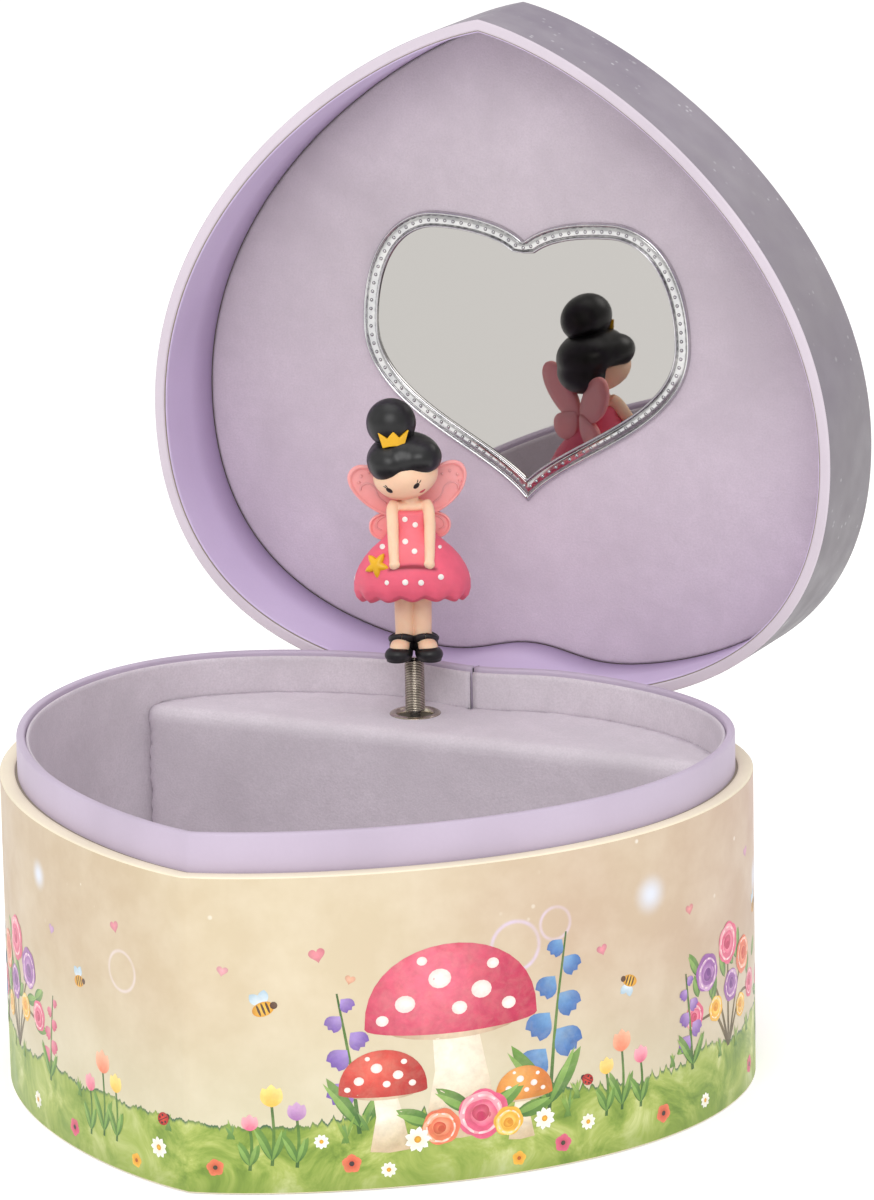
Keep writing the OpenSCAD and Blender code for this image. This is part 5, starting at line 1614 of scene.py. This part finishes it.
def cut_below(hair):
    """Lifts the underside of the fringe to its hairline and leaves the nape full."""
    bm = bmesh.new()
    bm.from_mesh(hair.data)
    for v in bm.verts:
        x, y, z = v.co / MM
        if y < 1.5:
            line = np.interp(x, [-9.5, -8.4, -7.2, -5.4, -3.6, -2.2, -1.4, -0.4, 1.3, 3.6, 5.4, 6.4, 8], [119.2, 118.1, 117.9, 118.35, 119.3, 120.0, 120.2, 120.05, 119.75, 119.7, 120.1, 120.6, 121.4])
            line = line + 0.45 * max(0, (y + 3) / 4.5)
            if z < line:
                v.co.z = (line - 0.12 * (line - z) ** 0.5) * MM
    bmesh.ops.smooth_vert(bm, verts=bm.verts, factor=0.4, use_axis_x=True, use_axis_y=True, use_axis_z=True)
    bm.to_mesh(hair.data)
    bm.free()
    hair.data.shade_smooth()


def build_crown():
    """Three points on a band that follows the bun."""
    prof = [(-3.05, 0.0), (3.05, 0.0)]
    xs = np.linspace(-1, 1, 41)
    up = np.interp(np.abs(xs), [0, 0.46, 1.0], [3.15, 1.75, 3.45])
    c = np.array([-3.45, 0.2, 127.15])
    verts, faces = [], []
    nz = 8
    for side in (0, 1):
        for i, x in enumerate(xs):
            for j in range(nz + 1):
                t = j / nz
                h = up[i] * t
                wide = 2.35 + 0.95 * (h / 3.4)
                r = (5.15 if side == 0 else 4.3) + 0.10 * h
                a = x * wide / 5.0
                lean = 0.28 * h
                verts.append(c + np.array([r * math.sin(a), -r * math.cos(a) + lean * 0.25, -1.55 + h - 0.28 * x * x * 1.2 + 0.16 * x]))
    w = nz + 1
    m = len(xs) * w
    for i in range(len(xs) - 1):
        for j in range(nz):
            a, b, cc, d = i * w + j, (i + 1) * w + j, (i + 1) * w + j + 1, i * w + j + 1
            faces += [(a, b, cc, d), (a + m, d + m, cc + m, b + m)]
    for i in range(len(xs) - 1):
        faces.append((i * w, i * w + m, (i + 1) * w + m, (i + 1) * w))
        faces.append((i * w + nz, (i + 1) * w + nz, (i + 1) * w + nz + m, i * w + nz + m))
    for j in range(nz):
        faces.append((j, j + 1, j + 1 + m, j + m))
        e = (len(xs) - 1) * w
        faces.append((e + j, e + j + m, e + j + 1 + m, e + j + 1))
    ob = fix_normals(add("crown", verts, faces))
    s = ob.modifiers.new("b", "BEVEL")
    s.width, s.segments, s.limit_method, s.angle_limit = 0.00016, 2, "ANGLE", math.radians(50)
    apply_modifiers(ob)
    ob.data.shade_smooth()
    return ob


def build_star():
    """A plump five-pointed star lying on the skirt."""
    c = on_dress(-7.45, 98.2, 0.1)
    nrm = np.array([-0.42, -1.0, 0.26]); nrm /= np.linalg.norm(nrm)
    ex = np.cross([0, 0, 1.0], nrm); ex /= np.linalg.norm(ex)
    ey = np.cross(nrm, ex)
    verts, faces = [], []
    rings = [(0.0, 1.25), (0.35, 1.2), (0.7, 1.0), (0.92, 0.62), (1.0, 0.25), (1.0, -0.5)]
    n = 50
    for s, h in rings:
        for i in range(n):
            a = 2 * math.pi * i / n
            k = (a / (2 * math.pi / 5)) % 1
            k = abs(k * 2 - 1)
            r = 1.45 + (3.0 - 1.45) * k ** 1.25
            ang = a + math.radians(90 + 36 + 10)
            p = c + ex * (s * r * math.cos(ang)) + ey * (s * r * math.sin(ang)) + nrm * (h * (1 - 0.25 * k * s))
            verts.append(p)
    for k in range(len(rings) - 1):
        for i in range(n):
            j = (i + 1) % n
            faces.append((k * n + i, k * n + j, (k + 1) * n + j, (k + 1) * n + i))
    faces.append([(len(rings) - 1) * n + i for i in range(n)])
    return fix_normals(add("star", verts, faces))


def build_wings():
    obs = []
    lobes = {
        "ur": ([(0.6, 109.0), (4.4, 108.4), (8.2, 110.4), (11.0, 113.5), (12.1, 116.9), (11.1, 119.4), (8.7, 120.1), (5.5, 118.8), (2.4, 115.5), (0.5, 111.8)], (6.6, 114.6), 0.0),
        "ul": ([(-0.6, 109.0), (-4.4, 107.9), (-8.8, 109.9), (-12.3, 113.2), (-13.6, 116.4), (-12.6, 118.6), (-10.3, 119.4), (-6.5, 118.4), (-3.0, 115.3), (-0.6, 111.5)], (-7.6, 114.0), 0.0),
        "lr": ([(0.8, 109.8), (4.6, 109.2), (7.6, 107.9), (8.5, 105.9), (7.6, 103.9), (5.4, 102.9), (2.8, 103.6), (0.8, 106.0)], (4.8, 106.2), 0.25),
        "ll": ([(-0.8, 109.8), (-4.9, 109.2), (-8.2, 107.8), (-9.2, 105.7), (-8.3, 103.6), (-5.8, 102.7), (-2.8, 103.6), (-0.8, 106.0)], (-5.1, 106.1), 0.25)}
    for k, (pts, cen, back) in lobes.items():
        o = spline(pts, 72, True)
        cen = np.array(cen)
        # front relief: rim, groove, field
        rings = [(1.0, -0.42), (1.0, 0.18), (0.975, 0.40), (0.93, 0.50), (0.885, 0.44), (0.855, 0.22), (0.82, 0.14), (0.74, 0.20), (0.5, 0.30), (0.25, 0.36), (0.02, 0.38)]
        n = len(o)
        verts, faces = [], []
        for s, h in rings:
            for p in o:
                q = cen + (p - cen) * s
                tilt = 0.030 * abs(q[0]) ** 1.2
                verts.append((q[0], 4.1 + back - h + tilt, q[1]))
        for r in range(len(rings) - 1):
            for i in range(n):
                j = (i + 1) % n
                faces.append((r * n + i, r * n + j, (r + 1) * n + j, (r + 1) * n + i))
        faces.append([(len(rings) - 1) * n + i for i in range(n)])
        b = len(verts)
        back_rings = [(0.96, -0.60), (0.5, -0.66), (0.02, -0.66)]
        for s, h in back_rings:
            for p in o:
                q = cen + (p - cen) * s
                tilt = 0.030 * abs(q[0]) ** 1.2
                verts.append((q[0], 4.1 + back - h + tilt, q[1]))
        prev = 0
        for r in range(len(back_rings)):
            st = b + r * n
            for i in range(n):
                j = (i + 1) % n
                faces.append((prev + j, prev + i, st + i, st + j))
            prev = st
        faces.append([prev + i for i in range(n)])
        obs.append(fix_normals(add("w" + k, verts, faces)))
    # curls and small dots in relief on the upper wings
    for s in (-1, 1):
        ox = -0.7 if s < 0 else 0.2
        arc = [(s * 4.6, 110.9), (s * 6.2, 112.4), (s * 7.0, 114.4), (s * 8.4, 115.4), (s * 9.8, 114.9), (s * 10.1, 113.9)]
        p = spline([(ox + x, 3.86 + 0.03 * abs(x) ** 1.2, z) for x, z in arc], 26)
        obs.append(tube("c", p, 0.2, 8))
        arc = [(s * 5.2, 117.2), (s * 6.6, 118.0), (s * 8.2, 117.9), (s * 9.6, 117.3)]
        for x, z in ((8.2, 117.9), (9.9, 117.0), (10.4, 115.6), (6.6, 117.2)):
            xx = ox + s * x
            obs.append(ellipsoid("d", (xx, 3.86 + 0.03 * abs(xx) ** 1.2, z), (0.34, 0.26, 0.34), seg=10, rings=8))
        p = spline([(ox + x, 4.12 + 0.03 * abs(x) ** 1.2, z) for x, z in [(s * 3.4, 108.2), (s * 5.2, 108.0), (s * 6.6, 106.9), (s * 6.8, 105.6), (s * 5.8, 105.0)]], 20)
        obs.append(tube("c", p, 0.18, 8))
    ob = join("wings", obs)
    ob.data.shade_smooth()
    return ob


def build_dots():
    """Painted dots on the dress, slightly proud."""
    spots = [(-5.6, 94.35, 0.66), (-1.5, 94.35, 0.66), (1.9, 94.2, 0.66), (6.15, 95.4, 0.66), (-6.3, 102.4, 0.62), (6.05, 102.1, 0.42),
             (-1.35, 108.3, 0.62), (0.85, 107.05, 0.62), (-1.35, 103.4, 0.66), (0.6, 101.2, 0.64)]
    verts, faces = [], []
    for x, z, r in spots:
        base = len(verts)
        n = 16
        for s, h in ((1.0, -0.03), (0.85, 0.07), (0.45, 0.11)):
            for i in range(n):
                a = 2 * math.pi * i / n
                verts.append(on_dress(x + r * s * math.cos(a), z + r * s * 1.02 * math.sin(a), h))
        verts.append(on_dress(x, z, 0.12))
        for k in range(2):
            for i in range(n):
                j = (i + 1) % n
                faces.append((base + k * n + i, base + k * n + j, base + (k + 1) * n + j, base + (k + 1) * n + i))
        for i in range(n):
            faces.append((base + 2 * n + i, base + 2 * n + (i + 1) % n, base + 3 * n))
    # the back of the skirt has its own row
    for a0 in np.arange(7) * 0.5 + 1.66:
        base = len(verts)
        n = 16
        for s, h in ((1.0, -0.03), (0.85, 0.07), (0.45, 0.11), (0.0, 0.12)):
            for i in range(n if s else 1):
                a = 2 * math.pi * i / n
                z = 94.6 + (0.9 if int(a0 * 2) % 2 else 0) + 0.6 * s * math.sin(a)
                th = a0 + 0.6 * s * math.cos(a) / 12.2
                verts.append(dress_pt(z, th, h))
        for k in range(2):
            for i in range(n):
                j = (i + 1) % n
                faces.append((base + k * n + i, base + k * n + j, base + (k + 1) * n + j, base + (k + 1) * n + i))
        for i in range(n):
            faces.append((base + 2 * n + i, base + 2 * n + (i + 1) % n, base + 3 * n))
    return fix_normals(add("dots_", verts, faces))


def build_face(head):
    """Painted eyes, lashes and a small mouth, laid on the head."""
    bpy.context.view_layer.update()

    def hit(x, z):
        ok, p, nn, _ = head.ray_cast(Vector((x * MM, -0.03, z * MM)), Vector((0, 1, 0)))
        return (np.array(p) / MM, np.array(nn)) if ok else (np.array([x, -7.0, z]), np.array([0, -1.0, 0]))
    def patch(name, outline, key, lift=0.05):
        o = np.asarray(outline, float)
        c = o.mean(0)
        verts, faces = [], []
        n = len(o)
        for s in (1.0, 0.6):
            for q in o:
                p, nn = hit(*(c + (q - c) * s))
                verts.append(p + nn * (lift if s < 1 else 0.015))
        p, nn = hit(*c)
        verts.append(p + nn * (lift + 0.02))
        for i in range(n):
            j = (i + 1) % n
            faces.append((i, j, n + j, n + i))
            faces.append((n + i, n + j, 2 * n))
        return use(fix_normals(add(name, verts, faces)), key)
    def oval(x, z, rx, rz, rot, n=20):
        t = np.arange(n) * 2 * math.pi / n
        c, s = math.cos(rot), math.sin(rot)
        p = np.stack([rx * np.cos(t), rz * np.sin(t)], 1)
        return p @ np.array([[c, s], [-s, c]]) + (x, z)
    def stroke(pts, w):
        p = spline(pts, 12)
        t = np.gradient(p, axis=0); t /= np.linalg.norm(t, axis=1)[:, None]
        nn = np.stack([-t[:, 1], t[:, 0]], 1)
        ww = w * np.sin(np.linspace(0.25, math.pi - 0.1, len(p)))[:, None]
        return np.concatenate([p + nn * ww, (p - nn * ww)[::-1]])
    out = [patch("eye_a", oval(-4.5, 116.15, 0.80, 0.50, -0.60), "eye"),
           patch("eye_b", oval(1.3, 117.25, 0.80, 0.50, 0.80), "eye"),
           patch("lash_a1", stroke([(-5.0, 116.55), (-5.4, 116.85), (-5.85, 116.95)], 0.11), "eye"),
           patch("lash_a2", stroke([(-4.8, 116.7), (-5.15, 117.15), (-5.5, 117.35)], 0.10), "eye"),
           patch("lash_b1", stroke([(1.75, 117.75), (2.15, 118.2), (2.3, 118.55)], 0.11), "eye"),
           patch("lash_b2", stroke([(1.4, 117.85), (1.6, 118.35), (1.6, 118.7)], 0.10), "eye"),
           patch("mouth", stroke([(1.9, 115.45), (2.5, 115.6), (3.2, 116.15)], 0.30), "lip")]
    ob = join("figure_face_paint_a", out[:6])
    use(ob, "eye")
    ob.data.shade_smooth()
    mo = out[6]
    mo.name = "figure_face_paint_b"
    return [ob, mo]


def figure_mats():
    m, col, n, fine = vinyl_mat("skin", (254, 214, 182), 0.46, 0.35, 0.93, 0.35)
    x, y, z = m.sep(m.obj)
    m.out(col, m.map(n, 0.3, 0.7, 0.42, 0.52), m.bump(fine, 0.06, 0.00005))
    MAT["skin"] = m.m
    m, col, n, fine = vinyl_mat("skin_head", (253, 208, 176), 0.46, 0.35, 0.93, 0.35)
    x, y, z = m.sep(m.obj)
    # painted shade: the bottom of the head, under the chin, is tinted dark red-brown by height
    painted_chin_shade = m.map(z, 0.1130, 0.1152, 0.65, 0.0, True)
    col = m.mix(painted_chin_shade, col, lin(214, 110, 92))
    MAT["skin_head"] = m.out(col, m.map(n, 0.3, 0.7, 0.42, 0.52), m.bump(fine, 0.06, 0.00005))
    m, col, n, fine = vinyl_mat("hair", (15, 15, 17), 0.34, 0.0, 0.8, 0.5)
    MAT["hair"] = m.out(col, m.map(n, 0.3, 0.7, 0.30, 0.42), m.bump(fine, 0.08, 0.00006))
    m, col, n, fine = vinyl_mat("shoe", (22, 22, 25), 0.44, 0.0, 0.7, 0.5)
    MAT["shoe"] = m.out(col, m.map(n, 0.3, 0.7, 0.38, 0.52), m.bump(fine, 0.10, 0.00006))
    m, col, n, fine = vinyl_mat("dress", (243, 105, 130), 0.48, 0.25, 0.93, 0.35)
    # painted shade and tone: blue is the bodice's own paler tone, green painted shade under the hem, red a painted
    # shadow in the crease under the hands
    w = m.attr("painted_shade_and_bodice")["Vector"]
    r, g, b = m.sep(w)
    col = m.mix(b, col, lin(246, 122, 134))
    col = m.mix(g, col, lin(168, 40, 66))
    col = m.mix(m.math("MULTIPLY", r, 0.85), col, lin(96, 30, 34))
    MAT["dress"] = m.out(col, m.map(n, 0.3, 0.7, 0.44, 0.56), m.bump(fine, 0.06, 0.00005))
    m, col, n, fine = vinyl_mat("wing", (254, 174, 172), 0.46, 0.3, 0.94, 0.35)
    # painted shade: an ambient-occlusion node darkens the wings' grooves and the edges of their relief towards deep
    # pink
    ao = m.t.nodes.new("ShaderNodeAmbientOcclusion")
    ao.inputs["Distance"].default_value = 0.0012
    ao.samples = 8
    col = m.mix(m.map(ao.outputs["AO"], 0.35, 0.95, 0.6, 0.0), col, lin(214, 104, 112))
    MAT["wing"] = m.out(col, m.map(n, 0.3, 0.7, 0.42, 0.52), m.bump(fine, 0.06, 0.00005))
    m, col, n, fine = vinyl_mat("gold", (242, 184, 22), 0.36, 0.0, 0.88, 0.5)
    MAT["gold"] = m.out(col, m.map(n, 0.3, 0.7, 0.30, 0.44), m.bump(fine, 0.10, 0.00006))
    m, col, n, fine = vinyl_mat("white_paint", (250, 244, 238), 0.4, 0.0, 0.94, 0.4)
    MAT["white_paint"] = m.out(col, None, m.bump(fine, 0.06, 0.00005))
    m, col, n, fine = vinyl_mat("eye", (34, 20, 20), 0.3, 0.0, 0.8, 0.5)
    MAT["eye"] = m.out(col, None, m.bump(fine, 0.06, 0.00005))
    m, col, n, fine = vinyl_mat("lip", (214, 70, 84), 0.42, 0.0, 0.9, 0.4)
    MAT["lip"] = m.out(col, None, m.bump(fine, 0.06, 0.00005))


figure_mats()

build_base()
build_lid()
build_hinge()
build_spring()
build_figure()

# ------------------------------------------------------------------ the frame's own parts
SLOT_MAT = {"greyboard": "greyboard", "print_paper": "cream_paper", "lilac_paper": "lilac_paper", "lid_paper": "lid_paper", "velour": "velour", "hinge_cloth": "cloth", "nickel": "nickel",
            "steel": "steel", "zinc": "zinc", "brass": "brass", "mirror_film": "mirror", "silver_plastic": "silver_plastic", "skin": "skin", "dress_pink": "dress", "wing_pink": "wing",
            "hair_black": "hair", "gold_paint": "gold"}
MAT["dark_wire"] = metal_mat("dark_wire", (70, 66, 70), 0.4)
slot_of = {s["node"]: s["material_slot"] for s in frame["record"]["subparts"]}
for name, ob in NODES.items():
    ob.data.materials.clear()
    ob.data.materials.append(MAT["dark_wire" if name == "stop_wire" else SLOT_MAT[slot_of[name]]])

# ------------------------------------------------------------------ floor, light
bm = bmesh.new()
bmesh.ops.create_grid(bm, x_segments=2, y_segments=2, size=6.0)
me = bpy.data.meshes.new("floor")
bm.to_mesh(me); bm.free()
floor = bpy.data.objects.new("floor", me)
floor.location = (0, 0, -0.0002)
SC.collection.objects.link(floor)
fm = Mat("floor", (0.90, 0.90, 0.895, 1), 0.75)
fm.out(fm.mix(fm.map(fm.noise(6, 2), 0.3, 0.7, 0.0, 0.05), (0.90, 0.90, 0.895, 1), (0.86, 0.86, 0.86, 1)))
fm.b.inputs["Emission Color"].default_value = (1, 1, 1, 1)
fm.b.inputs["Emission Strength"].default_value = 0.34
floor.data.materials.append(fm.m)

world = bpy.data.worlds.new("world") if SC.world is None else SC.world
SC.world = world
world.use_nodes = True
bg = world.node_tree.nodes["Background"]
bg.inputs[0].default_value = (1.0, 0.99, 0.98, 1)
bg.inputs[1].default_value = 0.72


def area(name, loc, target, size, power, color=(1, 1, 1)):
    l = bpy.data.lights.new(name, "AREA")
    l.shape = "RECTANGLE"
    l.size, l.size_y = size
    l.energy = power
    l.color = color
    o = bpy.data.objects.new(name, l)
    o.location = loc
    o.rotation_mode = "QUATERNION"
    o.rotation_quaternion = (Vector(target) - Vector(loc)).to_track_quat("-Z", "Y")
    SC.collection.objects.link(o)
    return o


area("key", (0.42, -1.20, 1.00), (0.0, 0.0, 0.08), (0.9, 0.7), 8.0)
area("fill", (-1.05, -0.75, 0.75), (0.0, 0.0, 0.08), (0.7, 0.9), 0.8)
area("top", (0.0, 0.05, 1.5), (0.0, 0.0, 0.05), (1.2, 1.2), 5)
SC.view_settings.view_transform = "Standard"
SC.view_settings.look = "None"
SC.view_settings.exposure = 0.0
SC.view_settings.gamma = 1.0
